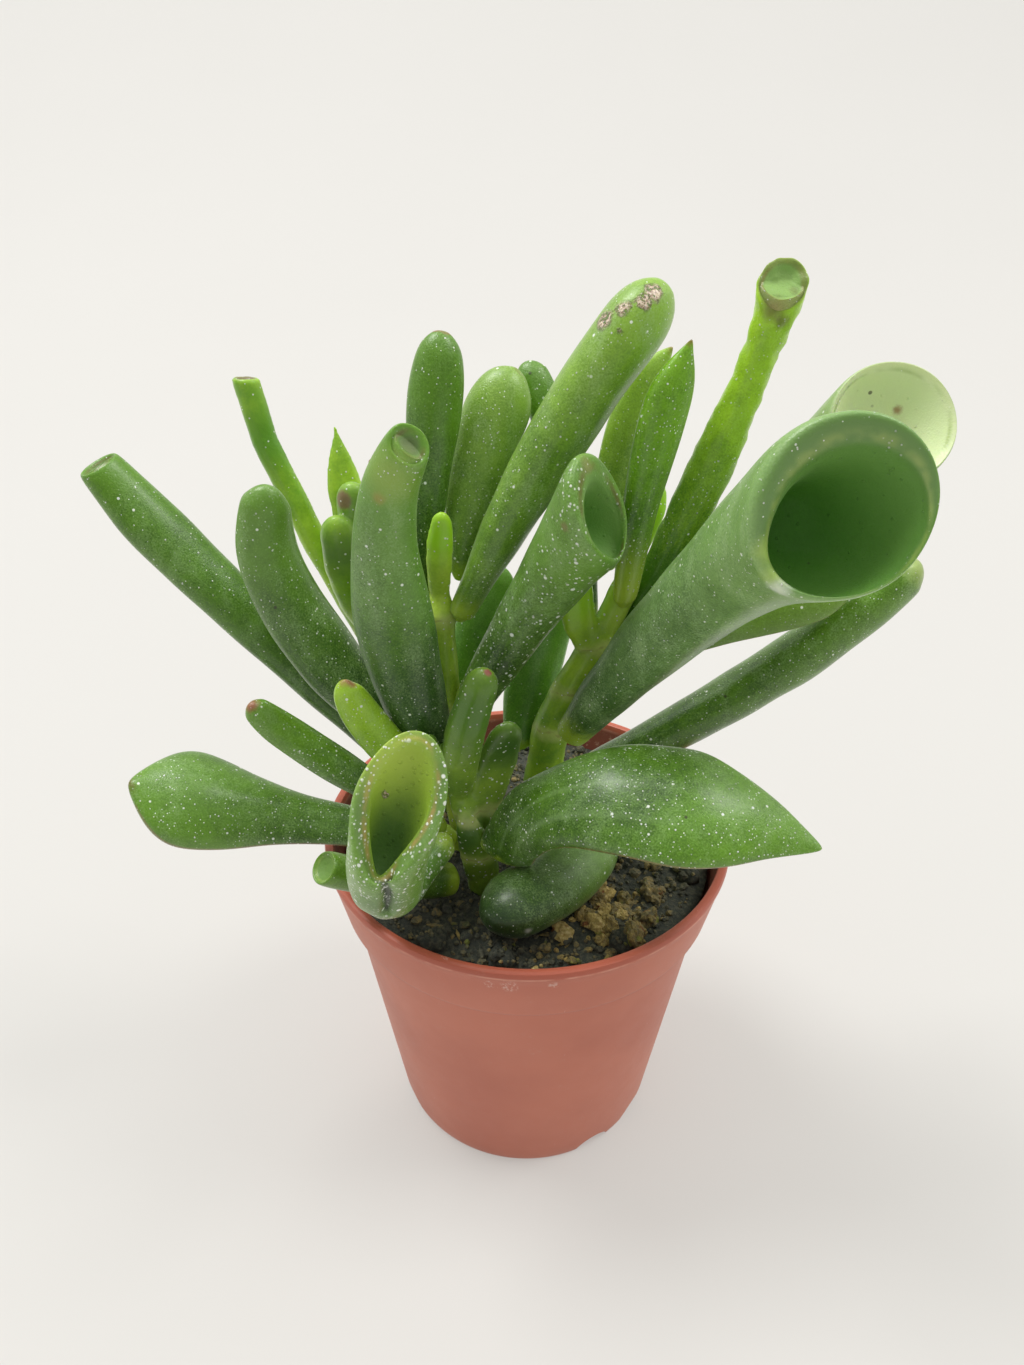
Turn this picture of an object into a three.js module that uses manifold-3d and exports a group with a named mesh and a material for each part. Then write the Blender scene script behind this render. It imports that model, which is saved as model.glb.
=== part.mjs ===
// Potted finger jade: a small nursery pot, its soil, four leafy stems and the large leaves they carry.
// Millimetres, +Z up. The origin is the middle of the pot's underside; the front of the plant faces -Y.

import * as THREE from 'three';
import { mergeVertices } from 'three/addons/utils/BufferGeometryUtils.js';
import Module from 'manifold-3d';

// Pot sizes
const RIM_RADIUS = 30;
const POT_HEIGHT = 53;
const LIP_WIDTH = 1.3;
const BAND_BOTTOM = 42.8;
const BAND_RADIUS = 28.1;
const BODY_TOP_RADIUS = 26.9;
const BASE_RADIUS = 20.9;
const WALL = 1.2;
const FLOOR_TOP = 2.7;
const BAND_STEP = 0.3;
const INSIDE_STEP = 0.9;
const POT_SIDES = 48;

// Water leaves through slots under the pot's foot, each with a drain hole over its inner end
const SLOT_WIDTH = 4.6;
const SLOT_HEIGHT = 1.5;
const SLOT_INNER_RADIUS = 15;
const SLOT_ANGLES = [-65, -45, 55, 75, 175, 195];
const DRAIN_RADIUS = 1.7;
const DRAIN_RING = 16.8;

// Soil sizes
const SOIL_LEVEL = 48.6;
const SOIL_GAP = 0.3;
const SOIL_RELIEF = 0.8;
const SOIL_TOP_RADII = [27.2, 23, 18, 12, 6];
const SOIL_EDGE_DROP = 0.6;
const CRUMB_COUNT = 46;
const CRUMB_SIZE = 1;
const CRUMB_SPREAD = 25;
const COARSE_SIDE = -45;
const CLEAR_SPOT = [0, -14];
const CLEAR_RADIUS = 9.5;
const STEM_HOLE_GAP = 0.35;
const STEM_FOOT = 42;
const STEM_HOLE_TOP = 56;

// Leaf and stem shape
const LEAF_SIDES = 10;
const LEAF_STEPS = 6;
const ROOT_LENGTH = 1.6;
const SMALL_LEAF_SIDES = 8;
const SMALL_LEAF_STEPS = 3;
const SMALL_ROOT_LENGTH = 1;
const WAVE_HEIGHT = 0.018;
const WAVE_TURNS = 9;
const SEAM_SHARPNESS = 10;
const CUP_LEAN_START = 0.45;
const ROUND_END = 0.62;
const LONGEST_END = 0.5;
const STEM_SIDES = 10;
const JOINT_SWELLING = 0.14;
const JOINT_LENGTH = 1.4;
const CROWN = 0.8;

// Colours
const DARK_GREEN = 0x3f6f35;
const MID_GREEN = 0x4f8a34;
const BRIGHT_GREEN = 0x76a72c;
const BLOOM_GREEN = 0x5a8560;
const TERRACOTTA = 0xb8604c;
const SOIL_BROWN = 0x2e2a1f;

const wasm = await Module();
wasm.setup();

const plant = new THREE.Group();
plant.name = 'potted_finger_jade';

const degrees = (angle) => (angle * Math.PI) / 180;
const point = (xyz) => new THREE.Vector3(xyz[0], xyz[1], xyz[2]);

// A repeatable random draw
function drawFrom(seed) {
  let state = seed;
  return () => {
    state = (state * 1664525 + 1013904223) % 4294967296;
    return state / 4294967296;
  };
}

// Joining and cutting closed meshes
function solidOf(geometry) {
  const bare = geometry.clone();
  bare.deleteAttribute('normal');
  bare.deleteAttribute('uv');
  const merged = mergeVertices(bare, 1e-4);
  return new wasm.Manifold(new wasm.Mesh({
    numProp: 3,
    vertProperties: new Float32Array(merged.attributes.position.array),
    triVerts: new Uint32Array(merged.index.array),
  }));
}

function geometryOf(solid) {
  const mesh = solid.getMesh();
  const geometry = new THREE.BufferGeometry();
  geometry.setAttribute('position', new THREE.BufferAttribute(mesh.vertProperties, 3));
  geometry.setIndex(new THREE.BufferAttribute(mesh.triVerts, 1));
  return geometry;
}

function addPiece(name, geometry, color, roughness) {
  const material = new THREE.MeshStandardMaterial({ color, roughness, metalness: 0 });
  const mesh = new THREE.Mesh(geometry, material);
  mesh.name = name;
  plant.add(mesh);
}

// A closed skin over a stack of rings, with a point at each end
function skinOf(rings, first, last) {
  const positions = [first.x, first.y, first.z];
  for (const ring of rings) {
    for (const corner of ring) {
      positions.push(corner.x, corner.y, corner.z);
    }
  }
  positions.push(last.x, last.y, last.z);
  const sides = rings[0].length;
  const index = [];
  const at = (ring, side) => 1 + ring * sides + (side % sides);
  const end = 1 + rings.length * sides;
  for (let side = 0; side < sides; side += 1) {
    index.push(0, at(0, side + 1), at(0, side));
    for (let ring = 0; ring + 1 < rings.length; ring += 1) {
      index.push(at(ring, side), at(ring, side + 1), at(ring + 1, side + 1));
      index.push(at(ring, side), at(ring + 1, side + 1), at(ring + 1, side));
    }
    index.push(at(rings.length - 1, side), at(rings.length - 1, side + 1), end);
  }
  const geometry = new THREE.BufferGeometry();
  geometry.setAttribute('position', new THREE.Float32BufferAttribute(positions, 3));
  geometry.setIndex(index);
  return geometry;
}

// A smooth run through four values spaced evenly from the root to the tip
function alongLeaf(values, t) {
  const place = Math.min(Math.max(t, 0), 1) * 3;
  const i = Math.min(Math.floor(place), 2);
  const f = place - i;
  const before = i > 0 ? values[i - 1] : 2 * values[0] - values[1];
  const after = i < 2 ? values[i + 2] : 2 * values[3] - values[2];
  const rise = (values[i + 1] - before) / 2;
  const fall = (after - values[i]) / 2;
  const f2 = f * f;
  const f3 = f2 * f;
  return (2 * f3 - 3 * f2 + 1) * values[i] + (f3 - 2 * f2 + f) * rise
    + (3 * f2 - 2 * f3) * values[i + 1] + (f3 - f2) * fall;
}

// A leaf follows a bend through its root, middle and tip. `widths` are its widths at the root, at one
// third, at two thirds and at the tip, `thick` is its thickness as a share of the width, and `face` is
// the compass angle and height angle, in degrees, of the side where its two edges have grown together.
function leafGeometry(leaf) {
  const [root, middle, tip] = leaf.path.map(point);
  const pull = middle.clone().multiplyScalar(2).addScaledVector(root, -0.5).addScaledVector(tip, -0.5);
  const bend = new THREE.QuadraticBezierCurve3(root, pull, tip);
  const length = bend.getLength();
  const sides = leaf.sides ?? LEAF_SIDES;
  const edge = leaf.edge ?? 1;
  const groove = leaf.groove ?? 0;
  const thick = leaf.thick ?? 0.75;
  const end = leaf.end ?? 'round';
  const [compass, height] = leaf.face.map(degrees);
  const facing = new THREE.Vector3(
    Math.cos(compass) * Math.cos(height), Math.sin(compass) * Math.cos(height), Math.sin(height));
  const wavePhase = root.x * 1.7 + tip.z;

  // One ring. `slide` moves it along the leaf, `tongue` tilts it, `notch` pulls its seam corner back,
  // `pinch` narrows it towards the seam and `shift` moves it across the leaf and towards the seam
  function ringAt(t, scale, options = {}) {
    const { slide = 0, tongue = 0, notch = 0, pinch = 0, shift = [0, 0] } = options;
    const centre = bend.getPoint(t);
    const ahead = bend.getTangent(t);
    const face = facing.clone().addScaledVector(ahead, -facing.dot(ahead)).normalize();
    const across = new THREE.Vector3().crossVectors(face, ahead);
    centre.addScaledVector(across, shift[0]).addScaledVector(face, shift[1]);
    const wide = (alongLeaf(leaf.widths, t) / 2) * scale;
    const ring = [];
    for (let side = 0; side < sides; side += 1) {
      const angle = (side / sides) * 2 * Math.PI;
      const wave = 1 + WAVE_HEIGHT * Math.sin(WAVE_TURNS * t + 2 * angle + wavePhase);
      const out = Math.sin(angle);
      const deep = wide * thick * Math.sign(out) * Math.abs(out) ** edge;
      const dip = groove * wide * thick * Math.max(0, out) ** 3 * Math.sin(Math.PI * Math.min(t * 1.1, 1));
      const seam = Math.max(0, out) ** SEAM_SHARPNESS;
      const along = slide - tongue * out - notch * seam;
      const narrow = 1 - pinch * Math.max(0, out) ** 2;
      ring.push(centre.clone()
        .addScaledVector(across, wide * Math.cos(angle) * wave * narrow)
        .addScaledVector(face, deep * wave - dip)
        .addScaledVector(ahead, along));
    }
    return ring;
  }

  const rings = [];
  const rootEnd = (leaf.rootLength ?? ROOT_LENGTH) / length;
  for (const [share, scale] of [[0, 0.5], [0.4, 0.82], [1, 1]]) {
    rings.push(ringAt(rootEnd * share, scale));
  }
  const firstPole = bend.getPoint(0).addScaledVector(bend.getTangent(0), -0.25);
  const steps = leaf.steps ?? LEAF_STEPS;
  let lastPole;

  if (end === 'cup') {
    // The leaf opens into a cup: outside rings lean over to the mouth, then the inside goes back down
    const { tongue, notch, deep, lip, pinch = 0, shift = [0, 0] } = leaf.cup;
    for (let k = 1; k <= steps; k += 1) {
      const t = rootEnd + (1 - rootEnd) * (k / steps);
      const lean = Math.max(0, (t - CUP_LEAN_START) / (1 - CUP_LEAN_START)) ** 2;
      rings.push(ringAt(t, 1, { tongue: tongue * lean, notch: notch * lean ** 3 }));
    }
    const half = alongLeaf(leaf.widths, 1) / 2;
    const inner = 1 - lip / half;
    const top = { slide: lip * 0.35, tongue, notch, pinch: pinch * 0.4, shift: shift.map((v) => v / 2) };
    const mouth = { slide: -lip * 0.2, tongue, notch, pinch, shift };
    const throat = {
      slide: -deep * 0.45, tongue: tongue * 0.75, notch: notch * 0.5, pinch: pinch / 2, shift,
    };
    rings.push(ringAt(1, (1 + inner) / 2, top));
    rings.push(ringAt(1, inner, mouth));
    rings.push(ringAt(1, inner * 0.86, throat));
    rings.push(ringAt(1, inner * 0.52, { slide: -deep * 0.88, tongue: tongue * 0.35 }));
    lastPole = bend.getPoint(1).addScaledVector(bend.getTangent(1), -deep);
  } else {
    // The leaf closes in a round end, or in a longer pointed one
    const tipLength = leaf.tipLength ?? alongLeaf(leaf.widths, 1) * ROUND_END;
    const bodyEnd = 1 - Math.min(tipLength / (2 * tip.distanceTo(pull)), LONGEST_END);
    for (let k = 1; k <= steps; k += 1) {
      rings.push(ringAt(rootEnd + (bodyEnd - rootEnd) * (k / steps), 1));
    }
    const closing = end === 'point' ? [0.3, 0.58, 0.82] : [0.42, 0.74, 0.94];
    for (const v of closing) {
      const scale = end === 'point' ? 1 - v ** (leaf.blunt ?? 1.8) : Math.sqrt(1 - v * v);
      rings.push(ringAt(bodyEnd + (1 - bodyEnd) * v, scale));
    }
    lastPole = bend.getPoint(1);
  }
  return skinOf(rings, firstPole, lastPole);
}

// A stem is a round tube through its points, swollen a little at each joint that bears leaves
function stemGeometry(stem, grow = 0, from = STEM_FOOT, to = Infinity) {
  const bend = new THREE.CatmullRomCurve3(stem.points.map(point));
  const count = stem.points.length - 1;
  const steps = stem.steps;
  const rings = [];
  const centres = [];
  for (let k = 0; k <= steps; k += 1) {
    const t = k / steps;
    const centre = bend.getPoint(t);
    if (centre.z < from - 0.01 || centre.z > to) continue;
    const ahead = bend.getTangent(t);
    const across = new THREE.Vector3(0, 1, 0).cross(ahead).normalize();
    const up = new THREE.Vector3().crossVectors(ahead, across);
    const place = t * count;
    const i = Math.min(Math.floor(place), count - 1);
    let radius = THREE.MathUtils.lerp(stem.radii[i], stem.radii[i + 1], place - i);
    for (const joint of stem.joints) {
      radius *= 1 + JOINT_SWELLING * Math.exp(-(((centre.z - joint) / JOINT_LENGTH) ** 2));
    }
    const ring = [];
    for (let side = 0; side < STEM_SIDES; side += 1) {
      const angle = (side / STEM_SIDES) * 2 * Math.PI;
      ring.push(centre.clone()
        .addScaledVector(across, (radius + grow) * Math.cos(angle))
        .addScaledVector(up, (radius + grow) * Math.sin(angle)));
    }
    rings.push(ring);
    centres.push({ centre, ahead });
  }
  const foot = centres[0].centre.clone().addScaledVector(centres[0].ahead, -grow);
  const top = centres[centres.length - 1];
  const crown = top.centre.clone().addScaledVector(top.ahead, CROWN);
  return skinOf(rings, foot, crown);
}

// Stems, each given by points up its middle, its radius at each point and the heights of its joints,
// with the small leaves that grow from it
const stems = {
  stem_left: {
    points: [[-8, -1, 42], [-9.4, -1.4, 58], [-11.2, -2, 74.5], [-11.7, -1, 88.5], [-11.5, -0.5, 93]],
    radii: [2.3, 2.1, 1.7, 1.5, 1.1],
    joints: [60, 68, 75, 88.5],
    steps: 20,
    color: MID_GREEN,
    leaves: [
      {
        path: [[-11.6, -1, 91], [-11.2, -3, 98], [-10.5, -4, 104]],
        widths: [2.6, 3.4, 3.2, 2.4], thick: 0.6, face: [90, 10],
      },
      {
        path: [[-11.6, -0.3, 91], [-11.8, -0.4, 94.5], [-11.8, -0.6, 97.5]],
        widths: [1.8, 2, 1.8, 1.2], thick: 0.6, face: [-90, 10],
      },
    ],
  },
  stem_right: {
    points: [
      [2, 3, 42], [2.4, 2, 58], [3.4, 0.5, 70], [6.4, -0.3, 78],
      [9.7, 0, 85], [12, 0, 91.5], [12.6, 0.2, 94],
    ],
    radii: [2.7, 2.5, 2.3, 2.1, 1.9, 1.6, 1.1],
    joints: [59, 70, 77, 84, 91.5],
    steps: 22,
    color: MID_GREEN,
    leaves: [
      {
        path: [[8.4, -1, 83.5], [6.2, -1.8, 89.7], [6.6, -1.5, 95]],
        widths: [3.4, 4.6, 4.4, 3.2], thick: 0.6, face: [-80, 10],
      },
      {
        path: [[12.1, 0.9, 91], [14.7, 5.5, 97.5], [17.4, 8.8, 104.5]],
        widths: [2.8, 3.2, 4.6, 2.6], thick: 0.5, face: [-120, 20], end: 'point', tipLength: 5,
      },
    ],
  },
  stem_front: {
    points: [[-6, -9, 42], [-6.4, -9.3, 53], [-8.2, -9.6, 62], [-9.7, -10, 68.5], [-10, -10.3, 71]],
    radii: [2.1, 2, 1.6, 1.4, 1],
    joints: [52, 56, 63, 67.5],
    steps: 16,
    color: BRIGHT_GREEN,
    leaves: [
      {
        path: [[-9.2, -10.4, 66.5], [-8.2, -12.8, 77], [-4.8, -14, 88]],
        widths: [3.6, 5.4, 5, 4.2], thick: 0.75, face: [-100, 20],
      },
      {
        path: [[-7.4, -9.4, 58.5], [-4.4, -9.2, 69.5], [-2.3, -10, 77.6]],
        widths: [3.4, 5.6, 5.6, 3.8], thick: 0.55, face: [-70, 10], groove: 0.8,
      },
      {
        path: [[-9.8, -10.2, 68], [-12.6, -12, 74], [-12, -13, 77.5]],
        widths: [2.2, 3, 3, 2], thick: 0.6, face: [-60, 10],
      },
      {
        path: [[-6.6, -10.2, 51], [-7.2, -11.4, 58], [-9, -12, 65.5]],
        widths: [4, 4.3, 3.8, 2], thick: 0.5, face: [-90, 20], end: 'point', tipLength: 5,
      },
      {
        path: [[-6.2, -9.2, 51], [-4.6, -9, 58], [-5, -8.6, 63.5]],
        widths: [3, 4.2, 4, 2], thick: 0.6, face: [180, 10],
      },
    ],
  },
  stem_back: {
    points: [[-10, 8, 42], [-13.6, 9, 58], [-18.6, 11, 71], [-22.6, 12, 81], [-23.6, 12.2, 85]],
    radii: [2, 1.8, 1.5, 1.2, 0.9],
    joints: [68, 78, 83],
    steps: 18,
    color: MID_GREEN,
    leaves: [
      {
        path: [[-19.2, 10.6, 69], [-33.6, 15, 99], [-38.2, 18, 113.5]],
        widths: [3, 3.7, 3.6, 3.8], thick: 0.8, face: [-90, 20],
        end: 'cup', cup: { tongue: 0.3, notch: 0, deep: 0.8, lip: 0.8 },
      },
      {
        path: [[-23.4, 12.4, 82.5], [-25, 13, 97], [-26.3, 15, 108.5]],
        widths: [2.8, 4.4, 4.8, 2.2], thick: 0.6, face: [-80, 10], end: 'point', tipLength: 8,
      },
      {
        path: [[-23.2, 12, 83.5], [-21, 12, 96], [-21, 12, 105]],
        widths: [2.2, 2.8, 2.6, 1.6], thick: 0.7, face: [-90, 10],
      },
      {
        path: [[-23.2, 11.6, 81.5], [-23.4, 9.4, 92.5], [-23.5, 8, 103]],
        widths: [2.6, 3.8, 4.6, 4.2], thick: 0.8, face: [-90, 10],
      },
      {
        path: [[-22.2, 11.4, 77.5], [-25.2, 7.8, 89], [-25.2, 6, 99]],
        widths: [3.2, 4.8, 5.2, 4.6], thick: 0.7, face: [-90, 10],
      },
    ],
  },
};

const smallLeaf = { sides: SMALL_LEAF_SIDES, steps: SMALL_LEAF_STEPS, rootLength: SMALL_ROOT_LENGTH };
for (const [name, stem] of Object.entries(stems)) {
  let body = solidOf(stemGeometry(stem));
  for (const leaf of stem.leaves) {
    body = body.add(solidOf(leafGeometry({ ...leaf, ...smallLeaf })));
  }
  addPiece(name, geometryOf(body), stem.color, 0.5);
}

// Large leaves, each its own piece beside the joint that bears it
const leaves = {
  leaf_far_left: {
    path: [[-12.9, -0.9, 58.8], [-42, 4.5, 89], [-55.5, 7, 105]],
    widths: [4.4, 6.8, 7.8, 5.8], thick: 0.7, face: [-60, 40], color: MID_GREEN,
    end: 'cup', cup: { tongue: 0.5, notch: 0, deep: 0.9, lip: 1.2 },
  },
  leaf_left: {
    path: [[-13.8, -2.4, 65], [-31, -1, 89.6], [-31, -2, 106]],
    widths: [5, 8.8, 7.8, 5.6], thick: 0.7, face: [-60, 30], color: BLOOM_GREEN,
  },
  leaf_spoon_left: {
    path: [[-9.9, -9.3, 57.2], [-38.5, -9, 61.6], [-53, -12, 68.6]],
    widths: [4, 7.2, 14, 11.8], thick: 0.54, edge: 1.2, face: [-80, 62], color: MID_GREEN,
    end: 'point', tipLength: 10, blunt: 3,
  },
  leaf_small_left: {
    path: [[-11.5, -11, 60.5], [-27.5, -13, 75], [-33.5, -16, 84]],
    widths: [3.2, 4.6, 4.6, 2.8], thick: 0.75, face: [-80, 45], color: MID_GREEN,
  },
  leaf_pink_tip: {
    path: [[-12, -10.5, 65], [-20.5, -12, 79], [-22, -13, 85.5]],
    widths: [3.2, 5, 4.4, 2.6], thick: 0.65, face: [-80, 30], color: BRIGHT_GREEN,
  },
  leaf_front_boat: {
    path: [[-10.9, -12.8, 60.5], [-17, -24.5, 61.5], [-14.5, -29, 79]],
    widths: [4, 5.4, 9, 10.3], thick: 0.9, face: [-90, 25], color: BRIGHT_GREEN,
    end: 'cup', cup: { tongue: 6.5, notch: 3, deep: 8, lip: 1.9, pinch: 0.55, shift: [0, -0.6] },
  },
  leaf_stub_left: {
    path: [[-9.9, -11.5, 51.9], [-17.5, -16.5, 56], [-25.5, -21.5, 62.6]],
    widths: [4.6, 5, 4.4, 4.6], thick: 0.9, face: [-60, 60], color: BRIGHT_GREEN,
    end: 'cup', cup: { tongue: 0.2, notch: 0, deep: 0.7, lip: 0.9 },
  },
  leaf_spoon_right: {
    path: [[-3.1, -13.5, 57.6], [8.9, -19, 72.4], [36, -24, 69]],
    widths: [7, 11, 15.4, 13], thick: 0.4, edge: 1.2, face: [-80, 60], color: MID_GREEN,
    end: 'point', tipLength: 21, blunt: 1.9,
  },
  leaf_drooping: {
    path: [[6.4, -0.8, 55.6], [7.6, -8.6, 53.4], [-5.4, -21.5, 53.9]],
    widths: [7, 9, 10.4, 10], thick: 0.82, face: [60, 60], color: DARK_GREEN,
  },
  leaf_front_upright: {
    path: [[-12.5, -7.5, 69], [-16.7, -11, 98.5], [-12.9, -16, 116]],
    widths: [6, 9.9, 7.1, 5.2], thick: 0.62, face: [-90, 20], color: BLOOM_GREEN,
    end: 'cup', cup: { tongue: 1.3, notch: 0, deep: 0.6, lip: 1.5 },
  },
  leaf_middle_trumpet: {
    path: [[-8.2, -4, 75.5], [0.5, -6, 92.4], [7.4, -12, 107.6]],
    widths: [4.6, 6.6, 8, 10.6], thick: 1.04, face: [-12, -20], color: DARK_GREEN,
    end: 'cup', cup: { tongue: 4, notch: 0.6, deep: 5, lip: 2, shift: [0, 1.1] },
  },
  leaf_long_scarred: {
    path: [[-9.2, -1.2, 88], [3.6, 0, 112.5], [15, 2, 128.9]],
    widths: [4, 8.4, 9.7, 10.2], thick: 0.78, face: [150, 30], color: DARK_GREEN,
  },
  leaf_back_middle: {
    path: [[-9.2, 2, 92], [-6, 7, 108], [-1.2, 9.5, 117]],
    widths: [3, 7.4, 8.2, 7], thick: 0.7, face: [-90, 20], color: MID_GREEN,
  },
  leaf_back_upright: {
    path: [[-15, 1.4, 88.5], [-12.2, 3.4, 111], [-10.6, 5.5, 122.8]],
    widths: [3.4, 5.6, 6.8, 5.8], thick: 0.7, face: [-90, 10], color: DARK_GREEN,
    tipLength: 4,
  },
  leaf_back_small: {
    path: [[7.6, 2.4, 85.5], [4.6, 8.6, 104], [-1, 14, 117]],
    widths: [3.4, 5, 5.2, 4.2], thick: 0.7, face: [-90, 20], color: DARK_GREEN,
  },
  leaf_pair_back: {
    path: [[10.4, 4.2, 92.6], [11.8, 7.8, 109], [17.3, 10, 120]],
    widths: [3.6, 5.2, 5.6, 3.8], thick: 0.65, face: [-70, 20], color: BRIGHT_GREEN,
    end: 'point', tipLength: 6, blunt: 2.2,
  },
  leaf_pair_front: {
    path: [[12, -3.2, 91], [14, -4, 110.5], [17.5, -4, 124.5]],
    widths: [3.4, 4.8, 6.4, 4.6], thick: 0.65, face: [120, 20], color: BRIGHT_GREEN,
    end: 'point', tipLength: 7, blunt: 2.2,
  },
  leaf_big_trumpet: {
    path: [[5.6, -4.4, 71.5], [19, -16, 98.5], [28, -32, 116.5]],
    widths: [4.4, 8.8, 11.8, 16.6], thick: 0.92, face: [-125, -20], color: BLOOM_GREEN,
    end: 'cup', cup: { tongue: 3.5, notch: 2.4, deep: 9, lip: 2.6, shift: [-1.6, 0.3] },
  },
  leaf_tall_stalk: {
    path: [[12.2, 1, 82], [23.8, 1.4, 113.5], [27.4, 0, 129]],
    widths: [3.2, 5.4, 4.1, 5.4], thick: 0.85, face: [-100, 10], color: BRIGHT_GREEN,
    end: 'cup', cup: { tongue: 1.8, notch: 0, deep: 0.7, lip: 0.8 },
  },
  leaf_second_trumpet: {
    path: [[10.5, -2.8, 76], [27.6, -4.4, 100.5], [37.2, -14, 118.2]],
    widths: [4.4, 8, 11, 13], thick: 0.88, face: [-120, 20], color: BLOOM_GREEN,
    end: 'cup', cup: { tongue: 2.5, notch: 1, deep: 5, lip: 1.2 },
  },
  leaf_right_back: {
    path: [[6.2, 2.3, 58.6], [34.5, 6, 75.5], [52.5, 8, 92.5]],
    widths: [5.2, 8, 8.6, 6.8], thick: 0.85, face: [90, 60], color: MID_GREEN,
  },
  leaf_red_edge: {
    path: [[8.6, 2.2, 78], [33, 5, 87.5], [44, 4, 90]],
    widths: [3.6, 7, 9, 6.4], thick: 0.42, edge: 1.2, face: [-90, 40], color: BRIGHT_GREEN,
    end: 'point', tipLength: 5, blunt: 2.2,
  },
  leaf_shaded_left: {
    path: [[-9.4, 0.8, 72], [-7.2, 4, 81.5], [-3.5, 7, 91.5]],
    widths: [3.6, 6.6, 7, 4.8], thick: 0.55, face: [-90, 10], color: DARK_GREEN,
  },
  leaf_shaded_right: {
    path: [[-1.4, 3.2, 64], [1, 6, 76.5], [5, 8, 89]],
    widths: [4, 7, 7.4, 5], thick: 0.55, face: [-90, 10], color: DARK_GREEN,
  },
};

for (const [name, leaf] of Object.entries(leaves)) {
  addPiece(name, leafGeometry(leaf), leaf.color, 0.45);
}

// Pot: one turned wall with its floor, then the slots under the foot and the drain holes
function turned(profile) {
  const outline = profile.map(([r, z]) => new THREE.Vector2(r, z));
  outline.push(outline[0].clone());
  const geometry = new THREE.LatheGeometry(outline, POT_SIDES);
  geometry.rotateX(Math.PI / 2);
  return geometry;
}

const sideSlope = (BODY_TOP_RADIUS - BASE_RADIUS) / BAND_BOTTOM;
const outsideAt = (z) => BASE_RADIUS + sideSlope * z;
const insideAt = (z) => outsideAt(z) - WALL;
const insideTop = BAND_BOTTOM - INSIDE_STEP;
const potProfile = [
  [0, 0],
  [BASE_RADIUS - 1.4, 0],
  [BASE_RADIUS - 0.45, 0.5],
  [outsideAt(1.8), 1.8],
  [BODY_TOP_RADIUS, BAND_BOTTOM],
  [BAND_RADIUS, BAND_BOTTOM + BAND_STEP],
  [RIM_RADIUS - 0.1, POT_HEIGHT - 0.4],
  [RIM_RADIUS - 0.45, POT_HEIGHT],
  [RIM_RADIUS - LIP_WIDTH, POT_HEIGHT],
  [BAND_RADIUS - WALL, BAND_BOTTOM + BAND_STEP],
  [insideAt(insideTop), insideTop],
  [insideAt(FLOOR_TOP), FLOOR_TOP],
  [0, FLOOR_TOP],
];

let pot = solidOf(turned(potProfile));
for (const angle of SLOT_ANGLES) {
  const slot = new THREE.CylinderGeometry(SLOT_WIDTH / 2, SLOT_WIDTH / 2, SLOT_INNER_RADIUS, 16);
  slot.rotateZ(Math.PI / 2);
  slot.scale(1, 1, (2 * SLOT_HEIGHT) / SLOT_WIDTH);
  slot.translate(SLOT_INNER_RADIUS * 1.5, 0, 0);
  slot.rotateZ(degrees(angle));
  pot = pot.subtract(solidOf(slot));
  const drain = new THREE.CylinderGeometry(DRAIN_RADIUS, DRAIN_RADIUS, 4 * FLOOR_TOP, 16);
  drain.rotateX(Math.PI / 2);
  drain.translate(DRAIN_RING, 0, 0);
  drain.rotateZ(degrees(angle));
  pot = pot.subtract(solidOf(drain));
}
addPiece('pot', geometryOf(pot), TERRACOTTA, 0.45);

// Soil: a plug that fills the pot, its top uneven, with coarse crumbs bedded in it
function soilHeight(radius, angle) {
  const broad = 0.5 * Math.sin(3 * angle + radius * 0.35);
  const fine = 0.35 * Math.sin(7 * angle - radius * 0.9);
  const rings = 0.25 * Math.cos(radius * 1.1);
  return SOIL_LEVEL + SOIL_RELIEF * (broad + fine + rings);
}

function soilRing(radius, heightAt) {
  const ring = [];
  for (let k = 0; k < POT_SIDES; k += 1) {
    const angle = (k / POT_SIDES) * 2 * Math.PI;
    ring.push(new THREE.Vector3(radius * Math.cos(angle), radius * Math.sin(angle), heightAt(angle)));
  }
  return ring;
}

const soilBottom = FLOOR_TOP + SOIL_GAP;
const soilRings = [
  soilRing(insideAt(soilBottom) - SOIL_GAP, () => soilBottom),
  soilRing(insideAt(insideTop) - SOIL_GAP, () => insideTop),
];
for (const radius of SOIL_TOP_RADII) {
  const outermost = radius === SOIL_TOP_RADII[0];
  const level = (angle) => (outermost ? SOIL_LEVEL - SOIL_EDGE_DROP : soilHeight(radius, angle));
  soilRings.push(soilRing(radius, level));
}
let soil = solidOf(skinOf(
  soilRings, new THREE.Vector3(0, 0, soilBottom), new THREE.Vector3(0, 0, SOIL_LEVEL)));

const soilDraw = drawFrom(41);
for (let k = 0; k < CRUMB_COUNT; k += 1) {
  const angle = soilDraw() * 2 * Math.PI;
  const radius = CRUMB_SPREAD * Math.sqrt(soilDraw());
  const x = radius * Math.cos(angle);
  const y = radius * Math.sin(angle);
  const coarse = Math.max(0, Math.cos(angle - degrees(COARSE_SIDE))) ** 2;
  const size = CRUMB_SIZE * (1 + soilDraw() ** 2 + 0.9 * coarse);
  const crumb = new THREE.IcosahedronGeometry(size, 0);
  crumb.scale(1 + 0.4 * soilDraw(), 1, 0.7 + 0.3 * soilDraw());
  crumb.rotateZ(soilDraw() * Math.PI);
  crumb.translate(x, y, soilHeight(radius, angle) + 0.1 * size);
  if (Math.hypot(x - CLEAR_SPOT[0], y - CLEAR_SPOT[1]) > CLEAR_RADIUS) {
    soil = soil.add(solidOf(crumb));
  }
}
for (const stem of Object.values(stems)) {
  soil = soil.subtract(solidOf(stemGeometry(stem, STEM_HOLE_GAP, STEM_FOOT, STEM_HOLE_TOP)));
}
addPiece('soil', geometryOf(soil), SOIL_BROWN, 0.95);

export default plant;
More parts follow.
